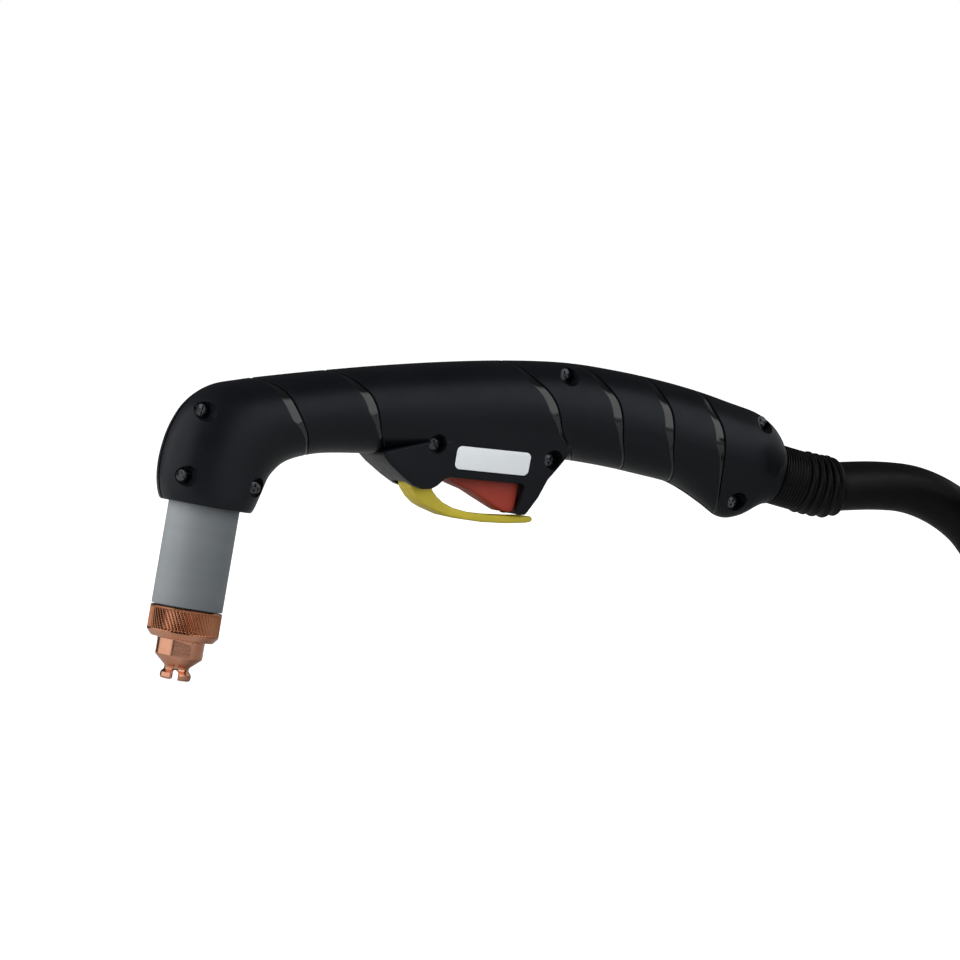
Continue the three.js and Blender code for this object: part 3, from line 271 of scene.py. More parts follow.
def make_world():
    """White to the camera, a plain fill for matt surfaces, and soft patches for gloss to mirror."""
    world = bpy.data.worlds.new("world")
    bpy.context.scene.world = world
    world.cycles.sampling_method = "NONE"  # its light differs by kind of ray, so no lamp rays go to it
    world.use_nodes = True
    tree = world.node_tree
    tree.nodes.clear()
    mirrored = GLOSS_FILL
    for patch in PATCHES:
        mirrored = math_node(tree, "ADD", bright_patch(tree, *patch), mirrored)
    gloss = math_node(tree, "MULTIPLY", node(tree, "LightPath", "Is Glossy Ray"), mirrored)
    matt = node(tree, "LightPath", "Is Diffuse Ray")
    lit = math_node(tree, "MULTIPLY_ADD", matt, MATT_FILL, gloss)
    strength = math_node(tree, "MAXIMUM", node(tree, "LightPath", "Is Camera Ray"), lit)
    background = node(tree, "Background", inputs={"Color": (1, 1, 1, 1), "Strength": strength})
    node(tree, "OutputWorld", inputs={"Surface": background})


def make_floor():
    """White to the camera except where the torch's shadow falls."""
    m = bpy.data.materials.new("floor")
    m.use_nodes = True
    tree = m.node_tree
    tree.nodes.clear()
    matte = node(tree, "BsdfDiffuse", inputs={"Color": (FLOOR_SHADE, FLOOR_SHADE, FLOOR_SHADE, 1)})
    on_floor = node(tree, "TexCoord", "Object")
    away = node(tree, "VectorMath", "Value", {0: on_floor}, operation="LENGTH")
    level = map_range(tree, away, *FLOOR_GLOW_REACH, *FLOOR_GLOW)
    shown = math_node(tree, "MULTIPLY", node(tree, "LightPath", "Is Camera Ray"), level)
    glow = node(tree, "Emission", inputs={"Strength": shown})
    both = node(tree, "AddShader", inputs={0: glow, 1: matte})
    node(tree, "OutputMaterial", inputs={"Surface": both})
    floor = mesh_object("floor", rectangle(-FLOOR_HALF, FLOOR_HALF, FLOOR_HALF, 0), [(0, 1, 2, 3)], m)
    floor.location.z = -0.2 * MM  # just under what rests on it


# ---- materials
def noise(tree, scale, detail, stretch=(1, 1, 1), tilt=0.0):
    """Noise in the piece's own metres; stretch squeezes it along an axis, tilt turns it about Y."""
    coords = node(tree, "TexCoord", "Object")
    leaning = node(tree, "Mapping", inputs={"Vector": coords, "Rotation": (0, math.radians(tilt), 0)})
    squeezed = node(tree, "Mapping", inputs={"Vector": leaning, "Scale": stretch})
    return node(tree, "TexNoise", "Fac", {"Vector": squeezed, "Scale": scale, "Detail": detail})


def tint(tree, shader, fac, low, high, start, stop):
    """Colours the shader between two colours by a texture."""
    ramp = tree.nodes.new("ShaderNodeValToRGB")
    for element, position, colour in zip(ramp.color_ramp.elements, (start, stop), (low, high)):
        element.position = position
        element.color = (*colour, 1)
    tree.links.new(fac, ramp.inputs["Fac"])
    tree.links.new(ramp.outputs["Color"], shader.inputs["Base Color"])


def bump(tree, shader, height, depth, strength):
    """Depth is in metres."""
    raised = node(tree, "Bump", "Normal", {"Height": height, "Distance": depth, "Strength": strength})
    tree.links.new(raised, shader.inputs["Normal"])


def new_material(name, metallic, specular):
    m = bpy.data.materials.new(name)
    m.use_nodes = True
    shader = m.node_tree.nodes["Principled BSDF"]
    shader.inputs["Metallic"].default_value = metallic
    shader.inputs["Specular IOR Level"].default_value = specular
    return m, m.node_tree, shader


def surface(
    name, colours, roughness, cloud, patches, grain, depth, strength,
    metallic=0, specular=0.5, span=(0.3, 0.7),
):
    """A material from three noises: cloud tints it, patches change its roughness, grain is its bump."""
    m, tree, shader = new_material(name, metallic, specular)
    tint(tree, shader, noise(tree, *cloud), *colours, *span)
    rough = map_range(tree, noise(tree, *patches), 0.3, 0.7, *roughness)
    tree.links.new(rough, shader.inputs["Roughness"])
    bump(tree, shader, noise(tree, *grain), depth, strength)
    return m


def shades(colour, *factors):
    return [tuple(c * f for c in colour) for f in factors]


def shell_plastic():
    colours = (0.0033, 0.0037, 0.0049), (0.0044, 0.0049, 0.0064)
    m = surface(
        "shell_plastic", colours, (0.35, 0.42), (45, 3), (160, 4), (2600, 2), 0.00004, 0.35, specular=0.3
    )
    # The specular tint is painted light: it gives the shell's sheen the cool colour of the softboxes.
    m.node_tree.nodes["Principled BSDF"].inputs["Specular Tint"].default_value = (0.84, 0.92, 1.0, 1)
    return m


def gloss_plastic():
    colours = [(0.006, 0.0065, 0.007)] * 2
    return surface(
        "shell_gloss_band", colours, (0.08, 0.13), (45, 3), (300, 3), (500, 2), 0.00003, 0.15, specular=0.8
    )


def tinted(name, colour, roughness):
    rough = roughness * 0.85, roughness * 1.2
    return surface(name, shades(colour, 0.86, 1.08), rough, (70, 3), (240, 4), (2700, 2), 0.00003, 0.25)


def label_plastic():
    colours = (0.89, 0.93, 0.95), (0.93, 0.95, 0.97)
    return surface("label_plastic", colours, (0.28, 0.38), (90, 3), (500, 2), (1500, 1), 0.00002, 0.15)


def cap_plastic():
    """Grey, with faint turning rings round the nozzle's axis."""
    colours = (0.138, 0.150, 0.158), (0.162, 0.175, 0.184)
    rings = (120, 4, (0.08, 0.08, 1), -NOZZLE_TILT)
    grain = (900, 2, (0.1, 0.1, 2), -NOZZLE_TILT)
    return surface("cap_grey", colours, (0.45, 0.58), rings, (300, 3), grain, 0.00003, 0.3, specular=0.3)


def machined(name, dark, light, roughness=0.24, tilt=-NOZZLE_TILT, rings=(0.05, 0.05, 1)):
    """A turned metal: fine rings round the piece's axis, and a slow change of tint."""
    rough = roughness * 0.75, roughness * 1.4
    return surface(
        name, (dark, light), rough, (110, 4), (700, 3, rings, tilt), (3500, 1, rings, tilt), 0.00002, 0.4,
        metallic=1.0, span=(0.35, 0.65),
    )


def rubber(name, colour, roughness):
    rough = roughness * 0.85, roughness * 1.15
    colours = shades(colour, 0.8, 1)
    return surface(name, colours, rough, (60, 4), (350, 4), (1600, 3), 0.00006, 0.4, specular=0.22)


def woven(name, colour):
    m, tree, shader = new_material(name, 0.0, 0.2)
    shader.inputs["Roughness"].default_value = 0.85
    coords = node(tree, "TexCoord", "Object")
    across, along = (
        node(tree, "TexWave", "Fac", {"Vector": coords, "Scale": 330}, bands_direction=axis) for axis in "XZ"
    )
    weave = math_node(tree, "MULTIPLY", across, along)
    tint(tree, shader, weave, *shades(colour, 0.4, 1), 0.0, 0.8)
    bump(tree, shader, weave, 0.0003, 0.7)
    return m


# ---- mesh helpers
def mesh_object(name, points, faces, mat=None, matrix=None):
    """A mesh object from points in millimetres."""
    mesh = bpy.data.meshes.new(name)
    mesh.from_pydata((np.asarray(points, float) * MM).tolist(), [], faces)
    if matrix is not None:
        mesh.transform(matrix)
    mesh.validate()
    mesh.update()
    if mat is not None:
        mesh.materials.append(mat)
    return new_object(name, mesh)


def loft(name, rings, mat=None, matrix=None, closed=False, flip=False):
    """A skin over rings of points (rows, columns, 3), with end faces or closed on itself."""
    rings = np.asarray(rings, float)
    rows, columns = rings.shape[:2]
    faces = []
    for i in range(rows if closed else rows - 1):
        a, b = i * columns, (i + 1) % rows * columns
        for k in range(columns):
            n = (k + 1) % columns
            faces.append((a + k, a + n, b + n, b + k))
    if not closed:
        faces += [tuple(range(columns))[::-1], tuple(range((rows - 1) * columns, rows * columns))]
    if flip:
        faces = [f[::-1] for f in faces]
    return mesh_object(name, rings.reshape(-1, 3), faces, mat, matrix)


def lengths(vectors):
    return np.linalg.norm(vectors, axis=-1)


def directions(vectors):
    return vectors / (lengths(vectors)[..., None] + 1e-12)


def rectangle(low_x, high_x, half, *rest):
    """The corners of a rectangle between two values of x, half its height either side of 0."""
    return [(x, y, *rest) for x, y in ((low_x, -half), (high_x, -half), (high_x, half), (low_x, half))]


def rounded(points, radius, steps):
    """A closed polygon with each corner turned into an arc, as an array of 2D points."""
    points = [np.asarray(p, float) for p in points]
    result = []
    for i, p in enumerate(points):
        edges = np.array([points[i - 1], points[(i + 1) % len(points)]]) - p
        to_before, to_after = directions(edges)
        half = math.acos(np.clip(to_before @ to_after, -1, 1)) / 2
        if half > math.radians(88):  # too flat for an arc
            result.append(p)
            continue
        reach = min(radius / math.tan(half), *0.45 * lengths(edges))
        r = reach * math.tan(half)
        centre = p + directions(to_before + to_after) * (r / math.sin(half))
        start, stop = p + to_before * reach - centre, p + to_after * reach - centre
        a0 = math.atan2(start[1], start[0])
        turn = (math.atan2(stop[1], stop[0]) - a0 + math.pi) % (2 * math.pi) - math.pi
        for s in range(steps + 1):
            a = a0 + turn * s / steps
            result.append(centre + r * np.array((math.cos(a), math.sin(a))))
    return np.array(result)


def signed_area(outline):
    """Positive where the outline runs anticlockwise."""
    after = np.roll(outline, -1, 0)
    return 0.5 * np.sum(outline[:, 0] * after[:, 1] - after[:, 0] * outline[:, 1])


def inset_outline(outline, distance):
    """The outline moved inwards; its corners are already round."""
    along = directions(np.roll(outline, -1, 0) - np.roll(outline, 1, 0))
    inward = np.stack([-along[:, 1], along[:, 0]], 1) * np.sign(signed_area(outline))
    return outline + inward * distance


def side_plate(name, outline, half, edge, steps, mat=None):
    """A plate with its outline in the side view and round edges. half is its half width at a height."""
    outline = np.asarray(outline, float)
    if signed_area(outline) < 0:
        outline = outline[::-1]
    rings = []
    for sign in (-1, 1):
        layers = []
        for s in range(steps + 1):
            a = 0.5 * math.pi * s / steps
            o = inset_outline(outline, edge * (1 - math.sin(a)))
            y = half(o[:, 1]) - edge * (1 - math.cos(a))
            layers.append(np.stack([o[:, 0], sign * y, o[:, 1]], 1))
        rings += layers if sign < 0 else layers[::-1]
    return loft(name, rings, mat, flip=True)


def round_angles(count):
    return np.linspace(0, 2 * math.pi, count, endpoint=False)


def constant(value):
    return lambda z: np.full_like(z, value)


def turned(name, profile, segments, matrix, mat=None, shape=None):
    """A turned piece about Z; profile is a closed list of (radius, height). shape may change radii."""
    profile = np.asarray(profile, float)
    if signed_area(profile) < 0:
        profile = profile[::-1]
    on_axis = profile[:, 0] < 1e-6
    solid = bool(on_axis.any())
    if solid:
        start = int(np.argmax(on_axis & ~np.roll(on_axis, -1)))
        profile = np.roll(profile, -start - 1, 0)
        profile = profile[profile[:, 0] > 1e-6]
    angle = np.repeat(round_angles(segments)[None], len(profile), 0)
    radius = np.repeat(profile[:, :1], segments, 1)
    height = np.repeat(profile[:, 1:], segments, 1)
    if shape:
        radius = shape(radius, angle, height)
    rings = np.stack([radius * np.cos(angle), radius * np.sin(angle), height], -1)
    return loft(name, rings, mat, matrix, closed=not solid, flip=not solid)


def boolean(piece, operation, *cutters):
    """Joins or cuts closed meshes and removes the cutters."""
    for cutter in cutters:
        step = piece.modifiers.new("boolean", "BOOLEAN")
        step.object = cutter
        step.operation = operation
        step.solver = "MANIFOLD"
    graph = bpy.context.evaluated_depsgraph_get()
    result = bpy.data.meshes.new_from_object(piece.evaluated_get(graph), depsgraph=graph)
    piece.modifiers.clear()
    old, piece.data = piece.data, result
    result.name = piece.name
    bpy.data.meshes.remove(old)
    for cutter in cutters:
        bpy.data.objects.remove(cutter)
    return piece


def coat(piece, *mats):
    """Puts these materials in place of the piece's own."""
    piece.data.materials.clear()
    for mat in mats:
        piece.data.materials.append(mat)


def shade(piece, angle):
    """Smooth faces, with sharp edges where they meet at more than the angle."""
    piece.data.shade_smooth()
    piece.data.set_sharp_from_angle(angle=math.radians(angle))


def place(piece, slot, *nodes, body="torch", angle=32):
    """Finishes a piece: it stands for the nodes and rides on a body. The slot is not used."""
    if piece.type == "MESH":
        shade(piece, angle)
    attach(piece, body)
    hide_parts(*nodes)
    return piece


def at(x, y, z):
    """The matrix that moves to a point in millimetres."""
    return Matrix.Translation(Vector((x, y, z)) * MM)


def spin(degrees, axis):
    """The matrix that turns about an axis."""
    return Matrix.Rotation(math.radians(degrees), 4, axis)


def nozzle_matrix():
    return at(*NOZZLE_BASE) @ spin(NOZZLE_TILT, "Y")


def bar_y(name, x, z, profile, segments, y=0.0):
    """A turned piece whose axis runs along +Y from y, at x, z in the side view."""
    return turned(name, profile, segments, at(side(x), y, z) @ spin(-90, "X"))


def drum(radius, low, high):
    return [(0, low), (radius, low), (radius, high), (0, high)]


def box_object(name, low, high, matrix):
    corners = [(x, y, z) for z in (low[2], high[2]) for y in (low[1], high[1]) for x in (low[0], high[0])]
    faces = [(0, 2, 3, 1), (4, 5, 7, 6), (0, 1, 5, 4), (2, 6, 7, 3), (0, 4, 6, 2), (1, 3, 7, 5)]
    return mesh_object(name, corners, faces, matrix=matrix)


def shifted(outline):
    """An outline of the measuring frame in the part's own frame."""
    return [(side(x), z) for x, z in outline]


def smooth_step(value, low, high):
    u = np.clip((value - low) / (high - low), 0, 1)
    return u * u * (3 - 2 * u)


def band(value, start, full, fading, end):
    """Rises from 0 to 1 between start and full, and falls back between fading and end."""
    return smooth_step(value, start, full) * (1 - smooth_step(value, fading, end))


def waves(phase):
    return 0.5 - 0.5 * np.cos(phase)


def catmull(rows, t):
    """A smooth curve through the rows, at t from 0 to 1."""
    rows = np.asarray(rows, float)
    count = len(rows)
    p = np.clip(t, 0, 1) * (count - 1)
    i = np.minimum(p.astype(int), count - 2)
    f = (p - i)[..., None]
    a, b, c, d = (rows[np.clip(i + k, 0, count - 1)] for k in (-1, 0, 1, 2))
    m, n = (c - a) / 2, (d - b) / 2
    return (2 * b - 2 * c + m + n) * f**3 + (3 * c - 3 * b - 2 * m - n) * f**2 + m * f + b


# ---- the lead
def lane_at(t):
    """How many lanes in from the outermost one the hank lies after t loops."""
    inside = t % PER_LAYER
    return PER_LAYER - inside if int(t // PER_LAYER) % 2 else inside


def run_points(start_x, step_x, start_z, end_z, y, bow):
    """A run of the hank; it bows a little at its middle and climbs where it starts a layer."""
    u = np.arange(RUN_STEPS) / RUN_STEPS
    z = start_z + smooth_step(u, 0, 1) * (end_z - start_z)
    return list(zip(start_x + step_x * u, y + bow * np.sin(math.pi * u) ** 2, z))


def fold_points(start, facing, z):
    """Half a turn at the far end (facing 1) or the near end (facing -1), half a lane inwards or outwards."""
    middle_x = HANK_X + RUN if facing > 0 else HANK_X
    points = []
    for u in np.arange(FOLD_STEPS) / FOLD_STEPS:
        r = facing * (OUTER_FOLD - lane_at(start + u / 2) * LANE)
        y = HANK_Y - OUTER_FOLD + r * math.cos(math.pi * u)
        points.append((middle_x + r * math.sin(math.pi * u), y, z))
    return points


def hank_points():
    """Far run, fold, near run, fold for each loop; the last one lies alone and ends in its near run."""
    points = [(HANK_X - STRAIGHT, HANK_Y, PLATE_Z)]
    for loop in range(LOOPS):
        z = PLATE_Z + loop // PER_LAYER * LAYER
        from_z = z - LAYER if loop % PER_LAYER == 0 and loop > 0 else z
        near_y = NEAR_Y + lane_at(loop + 0.5) * LANE
        points += run_points(HANK_X, RUN, from_z, z, HANK_Y - lane_at(loop) * LANE, -WAIST)
        points += fold_points(loop, 1, z)
        points += run_points(HANK_X + RUN, -RUN, z, z, near_y, WAIST)
        points += fold_points(loop + 0.5, -1, z)
    return points[:-FOLD_STEPS] + [(HANK_X + STRAIGHT, near_y, TOP_Z), (HANK_X, near_y, TOP_Z)]


def tail_points():
    """On from the hank, round one more fold that climbs, and into the connector."""
    near_y = NEAR_Y + LANE / 2
    r = (PLUG_Y - near_y) / 2
    u = np.linspace(0, 1, TAIL_STEPS + 1)
    x = HANK_X - STRAIGHT - r * np.sin(math.pi * u)
    y = near_y + r * (1 - np.cos(math.pi * u))
    z = TOP_Z + (PLUG_Z - TOP_Z) * smooth_step(u, 0, 1)
    return [*zip(x, y, z), (HANK_X, PLUG_Y, PLUG_Z), (PLUG[0] - FIT_GAP, PLUG_Y, PLUG_Z)]


def make_lead(jacket):
    knots = np.array(LEAD_ROUTE + hank_points() + tail_points(), float)
    knots = knots[np.r_[True, lengths(np.diff(knots, axis=0)) > 2]]
    dense = catmull(knots, np.linspace(0, 1, len(knots) * POINTS_PER_KNOT))
    curve = bpy.data.curves.new("lead_cord", "CURVE")
    curve.dimensions = "3D"
    curve.bevel_depth = LEAD_R * MM
    curve.bevel_resolution = 7
    curve.use_fill_caps = True
    spline = curve.splines.new("POLY")
    spline.points.add(len(dense) - 1)
    spline.points.foreach_set("co", np.c_[dense * MM, np.ones(len(dense))].ravel())
    spline.use_smooth = True
    curve.materials.append(jacket)
    lead = new_object("lead_cord", curve)
    return place(lead, "jacket", "lead", "lead_hank", "lead_tail")


def tie(name, x, y, width, height, strap):
    """A strap round the hank, centred on y, its low side on the floor and its low x side at x."""
    w = width / 2 + TIE_T
    top = height + 2 * TIE_T
    outer = rounded([(y - w, 0), (y + w, 0), (y + w, top), (y - w, top)], LEAD_R, 10)
    path = inset_outline(outer, TIE_T / 2)
    section = rounded(rectangle(-TIE_W / 2, TIE_W / 2, TIE_T / 2), 0.6, 3)
    middle = x + TIE_W / 2
    rings = []
    for p, n in zip(path, inset_outline(outer, 1.0) - outer):
        rings.append([(middle + along, p[0] - n[0] * up, p[1] - n[1] * up) for along, up in section])
    return loft(name, rings, strap, closed=True)


def make_ties(strap):
    stack = (FULL_LAYERS - 1) * LAYER + 2 * LEAD_R + 2 * FIT_GAP
    slack = 2 * FIT_GAP + 1
    far_wide = PER_LAYER * LANE + 2 * LEAD_R + slack + 2
    near_wide = (PER_LAYER - 1) * LANE + 2 * LEAD_R + slack
    far_y = HANK_Y - PER_LAYER * LANE / 2 - 0.6
    near_y = NEAR_Y + PER_LAYER * LANE / 2 + WAIST
    far = tie("strap_far", HANK_X - 12, far_y, far_wide, stack + 1.2, strap)
    near = tie("strap_near", HANK_X + RUN / 2 - TIE_W / 2, near_y, near_wide, stack + LAYER, strap)
    place(far, "strap", "hank_tie_far")
    place(near, "strap", "hank_tie_near")
    return [far, near]


# ---- casing
def spine(t):
    """At t: the section's middle and belly in the side view, its way up, half height and half width."""
    rows = catmull([station[:4] + (station[4] * GRIP_HALF,) for station in STATIONS], t)
    back, belly, half = rows[..., 0:2], rows[..., 2:4], rows[..., 4]
    up = back - belly
    tall = lengths(up) / 2
    return (back + belly) / 2, belly, up / (2 * tall[..., None]), tall, half


def section_point(middle, up, height, y):
    """Points at a height over the section's middle and at y from the middle plane."""
    spot = middle + up * height[..., None]
    return np.stack([side(spot[..., 0]), y, spot[..., 1]], -1)


def oval(angle):
    """Across and up, from -1 to 1, on a section whose corners are a little fuller than an ellipse's."""
    c, s = np.cos(angle), np.sin(angle)
    return [np.sign(part) * np.abs(part) ** (2 / ROUNDNESS) for part in (c, s)]


def section_shape(t, angle):
    """Points of the casing's outside, for arrays t and angle of one shape."""
    middle, belly, up, tall, half = spine(t)
    across, v = oval(angle)
    facet = band(t, *FACET_SPAN)
    break_v = math.sin(math.radians(FACET_HEIGHT))
    wide = np.minimum(np.abs(across), 1 - facet * FACET_LEAN * np.maximum(break_v - v, 0))
    drop = soft_line(belly[..., 0], LUG_X, LUG_DROP, 1.5) * smooth_step(-v, 0.2, 1.0)
    y = wide * half * (1 - LUG_DRAW_IN * drop / max(LUG_DROP))
    points = section_point(middle, up, v * tall - drop, y)
    z = points[..., 2]
    flank = band(points[..., 0] - SHELL_SHIFT_X, *HOUSING_SPAN)
    flank = flank * smooth_step(FLANK_TOP_Z + 2 - z, 0, 6) * smooth_step(v, -1.0, -0.93)
    flat = np.minimum(flank_half(z), half)
    points[..., 1] = np.sign(across) * np.maximum(y, flank * (flat - 0.05) + (1 - flank) * y)
    return points


def soft_line(where, xs, ys, blur):
    """The broken line through xs, ys with its corners smoothed over about the blur, at where."""
    fine = np.arange(xs[0] - 3 * blur, xs[-1] + 3 * blur, blur / 6)
    kernel = np.exp(-0.5 * (np.arange(-18, 19) / 6) ** 2)
    smooth = np.convolve(np.interp(fine, xs, ys), kernel / kernel.sum(), mode="same")
    return np.interp(where, fine, smooth)


def section_angles():
    extra = [a + off for a in (90, 270) for off in (-2.4, -1.85, -0.9, 0, 0.9, 1.85, 2.4)]
    for a in (FACET_HEIGHT, 180 - FACET_HEIGHT):
        extra += [a - 0.6, a, a + 0.6]
    base = [a for a in np.arange(0, 360, 2.5) if min(abs(a - e % 360) for e in extra if e % 2.5) > 0.9]
    return np.unique(np.round([e % 360 for e in extra] + base, 3))


def arc_depth(r, s):
    """How deep an edge's rounding lies at s from the end."""
    return r - math.sqrt(r**2 - (r - s) ** 2)


def casing_rows(angles):
    """For each row of the casing's mesh: its t and its depth at every column, and whether it is glossy."""
    heights = np.degrees(np.arctan2(np.sin(angles), np.abs(np.cos(angles))))
    columns = np.zeros_like(angles)

    def per_mm(t):
        step = 0.002
        a, b = section_shape(t - step / 2, angles), section_shape(t + step / 2, angles)
        return step / np.maximum(lengths(b - a), 1e-6)

    width = np.interp(heights, WIDTH_HEIGHTS, GROOVE_WIDTHS)
    depth = np.interp(heights, DEPTH_HEIGHTS, GROOVE_DEPTHS)
    slit = np.minimum(0.5, 0.3 * width)
    rows, depths, gloss = [], [], []

    def add(t, deep, shiny=False):
        rows.append(t + columns)
        depths.append(deep + columns)
        gloss.append(shiny)

    def add_between(last, first, count):
        for i in range(1, count + 1):
            add(last + (first - last) * i / (count + 1), 0)

    for s in (0, 0.08, 0.2, 0.4, 0.7, RIM_R):
        add(s * per_mm(columns), arc_depth(RIM_R, s))
    for groove, between in zip(GROOVES, ROWS_BEFORE_GROOVE):
        line = soft_line(heights, GROOVE_HEIGHTS, groove, 6)
        unit = per_mm(line)
        first = line - (width + 0.35) * unit
        add_between(rows[-1], first, between)
        add(first, 0)
        add(line - width * unit, 0.02, True)
        for part in (0.75, 0.5, 0.3, 0):
            edge = slit + (width - slit) * part
            add(line - edge * unit, depth * (1 - edge / width), True)
        add(line - 0.55 * slit * unit, depth + SLIT_DEPTH, True)
        add(line - 0.02 * unit, depth + SLIT_DEPTH, True)
        for past, deep in ((0.1, 0.12), (0.3, 0.0), (0.8, 0.0)):
            add(line + past * unit, deep)
    unit = per_mm(0.965 + columns)  # the stations run evenly there
    add_between(rows[-1], 1 - TAIL_R * unit, 40)
    for s in (TAIL_R, 1.9, 1.3, 0.8, 0.45, 0.2, 0.06, 0):
        add(1 - s * unit, arc_depth(TAIL_R, s))
    return np.array(rows), np.array(depths), np.array(gloss)


def casing_skin(plastic, gloss):
    angles = np.radians(section_angles())
    rows, depths, glossy = casing_rows(angles)
    grid = np.repeat(angles[None], len(rows), 0)
    points = section_shape(rows, grid)
    seam = np.interp(np.abs(np.abs(np.degrees(grid) - 180) - 90), [1.85, 2.4], [SEAM_DEPTH, 0])
    along = np.gradient(section_shape(np.clip(rows, 0, 1), grid), axis=0)
    around = np.roll(points, -1, 1) - np.roll(points, 1, 1)
    points = points - directions(np.cross(around, along)) * (depths + seam)[..., None]
    points[..., 1] = np.where(np.abs(np.cos(grid)) < 1e-9, 0, points[..., 1])
    skin = loft("casing_left", points, plastic)
    skin.data.materials.append(gloss)
    indices = np.zeros(len(skin.data.polygons), int)
    bands = np.repeat(glossy[:-1] & glossy[1:], len(angles))
    indices[:len(bands)] = bands
    skin.data.polygons.foreach_set("material_index", indices)
    return skin


def hollow_skin():
    """What the casing's walls enclose."""
    t, angle = np.meshgrid(np.linspace(0.035, 0.966, 60), round_angles(48), indexing="ij")
    middle, _, up, tall, half = spine(t)
    across, v = oval(angle)
    return loft("hollow", section_point(middle, up, v * (tall - WALL), across * (half - WALL - 0.6)))


def screw_seats():
    """Each screw's x, z and the y of its head's face, on the left flank."""
    t, a = np.meshgrid(np.linspace(0, 1, 900), np.radians(np.arange(90, 270, 1.5)), indexing="ij")
    skin = section_shape(t, a).reshape(-1, 3)
    seats = []
    for x, z in SCREWS:
        near = np.argsort(np.hypot(skin[:, 0] - side(x), skin[:, 2] - z) + 0.02 * (skin[:, 1] + 20))[:12]
        half = -skin[near, 1].mean()
        by_housing = -40 < x < 30 and z < 88
        if by_housing:
            half = max(half, flank_half(z))
        if (x, z) == LUG:
            half = LUG_HALF
        seats.append((x, z, HEAD_RECESS - half))
    return seats


def casing_cutters(seats):
    """What is cut out of the outer form: bores, slot, sockets, label recess and screw holes."""
    nozzle = nozzle_matrix()
    wide, narrow, groove = 13.45, 10.9, 13.3
    bore = turned("bore", [
        (0, 57), (wide, 57), (wide, 69.5), (narrow, 69.5), (narrow, 76.9), (groove, 76.9),
        (groove, 80.9), (narrow, 80.9), (narrow, 86), (0, 86),
    ], 96, nozzle)
    neck = turned("neck", [
        (0, -16), (12.1, -16), (12.1, -2.7), (10.8, -2.7), (10.8, 3), (0, 3),
    ], 72, tail_matrix())
    slot = side_plate("slot", shifted(SLOT_OUTLINE), constant(TRIGGER_HALF + RUN_GAP), 0.01, 1)
    reach = TRIGGER_HALF + 2.6
    sockets = [
        bar_y("socket", x, z, drum(PIN_R + 0.05, -reach, reach), 32) for x, z in (TRIGGER_PIVOT, LEVER_PIVOT)
    ]
    holes = []
    for x, z, face in seats:
        profile = [
            (0, -25 - face), (COUNTERBORE_R + 0.7, -25 - face), (COUNTERBORE_R + 0.7, -HEAD_RECESS - 0.5),
            (COUNTERBORE_R + 0.4, 0.4 - HEAD_RECESS), (COUNTERBORE_R, 0), (COUNTERBORE_R, 2.0), (1.55, 2.0),
            (1.55, 16), (0, 16),
        ]
        holes.append(bar_y("hole", x, z, profile, 48, face))
    return [bore, neck, slot, *sockets, label_plate("recess", -6, 0.9, FIT_GAP, 0.02), *holes]


def label_plate(name, low, high, grow, edge, mat=None):
    """A plate with round corners on the left flank, from low to high under the flank's surface."""
    w, h = LABEL["length"] / 2 + grow, LABEL["height"] / 2 + grow
    outline = rounded(rectangle(-w, w, h), LABEL["corner"] + grow, 10)
    plate = side_plate(name, outline, constant((high - low) / 2), edge, 4, mat)
    flank = at(side(LABEL["x"]), -flank_half(LABEL["z"]), LABEL["z"])
    lean = spin(math.degrees(math.atan(FLANK_SLOPE)), "X")
    plate.data.transform(flank @ lean @ spin(-LABEL["tilt"], "Y") @ at(0, (low + high) / 2, 0))
    return plate


def tail_matrix():
    """The middle of the casing's rear end, its Z along the strain relief."""
    start, after = RELIEF_ROUTE[:2]
    droop = math.degrees(math.atan2(start[2] - after[2], after[0] - start[0]))
    x, z = TAIL_MIDDLE
    return at(side(x), 0, z) @ spin(90 + droop, "Y")


def half_space(name, low, high):
    """What lies between two values of y; its sides are small squares, so that the cut faces stay small."""
    heights = np.arange(45, 131, 5)
    section = [(high, z) for z in heights] + [(low, z) for z in heights[::-1]]
    return loft(name, [[(x, y, z) for y, z in section] for x in np.arange(-145, 126, 5)])


def housing_half(z):
    """Half width of the trigger housing, drawn in where it sinks into the casing."""
    return flank_half(z) - smooth_step(z, 81, 87)


def make_casing(plastic, gloss):
    outer = casing_skin(plastic, gloss)
    housing = side_plate("housing", rounded(shifted(HOUSING_OUTLINE), 1.6, 4), housing_half, 0.9, 5)
    collar_profile = [(0, -9), (12.3, -9), (12.3, -0.6), (12.15, -0.15), (11.7, 0.3), (11.2, 0.4), (0, 0.4)]
    collar = turned("collar", collar_profile, 96, tail_matrix())
    boolean(outer, "UNION", housing, collar)
    seats = screw_seats()
    head_seat = turned("head_seat", drum(24, 70.4, 84), 64, nozzle_matrix())
    bosses = [bar_y("boss", x, z, drum(BOSS_R, -GRIP_HALF, GRIP_HALF), 24) for x, z, _ in seats]
    hollow = boolean(hollow_skin(), "DIFFERENCE", head_seat, *bosses)
    boolean(outer, "DIFFERENCE", hollow, *casing_cutters(seats))
    right = new_object("casing_right", outer.data.copy())
    boolean(outer, "INTERSECT", half_space("left_half", -80, -HALVES_GAP))
    boolean(right, "INTERSECT", half_space("right_half", HALVES_GAP, 80))
    place(outer, "shell", "handle_shell_left", angle=28)
    place(right, "shell", "handle_shell_right", angle=28)
    return seats


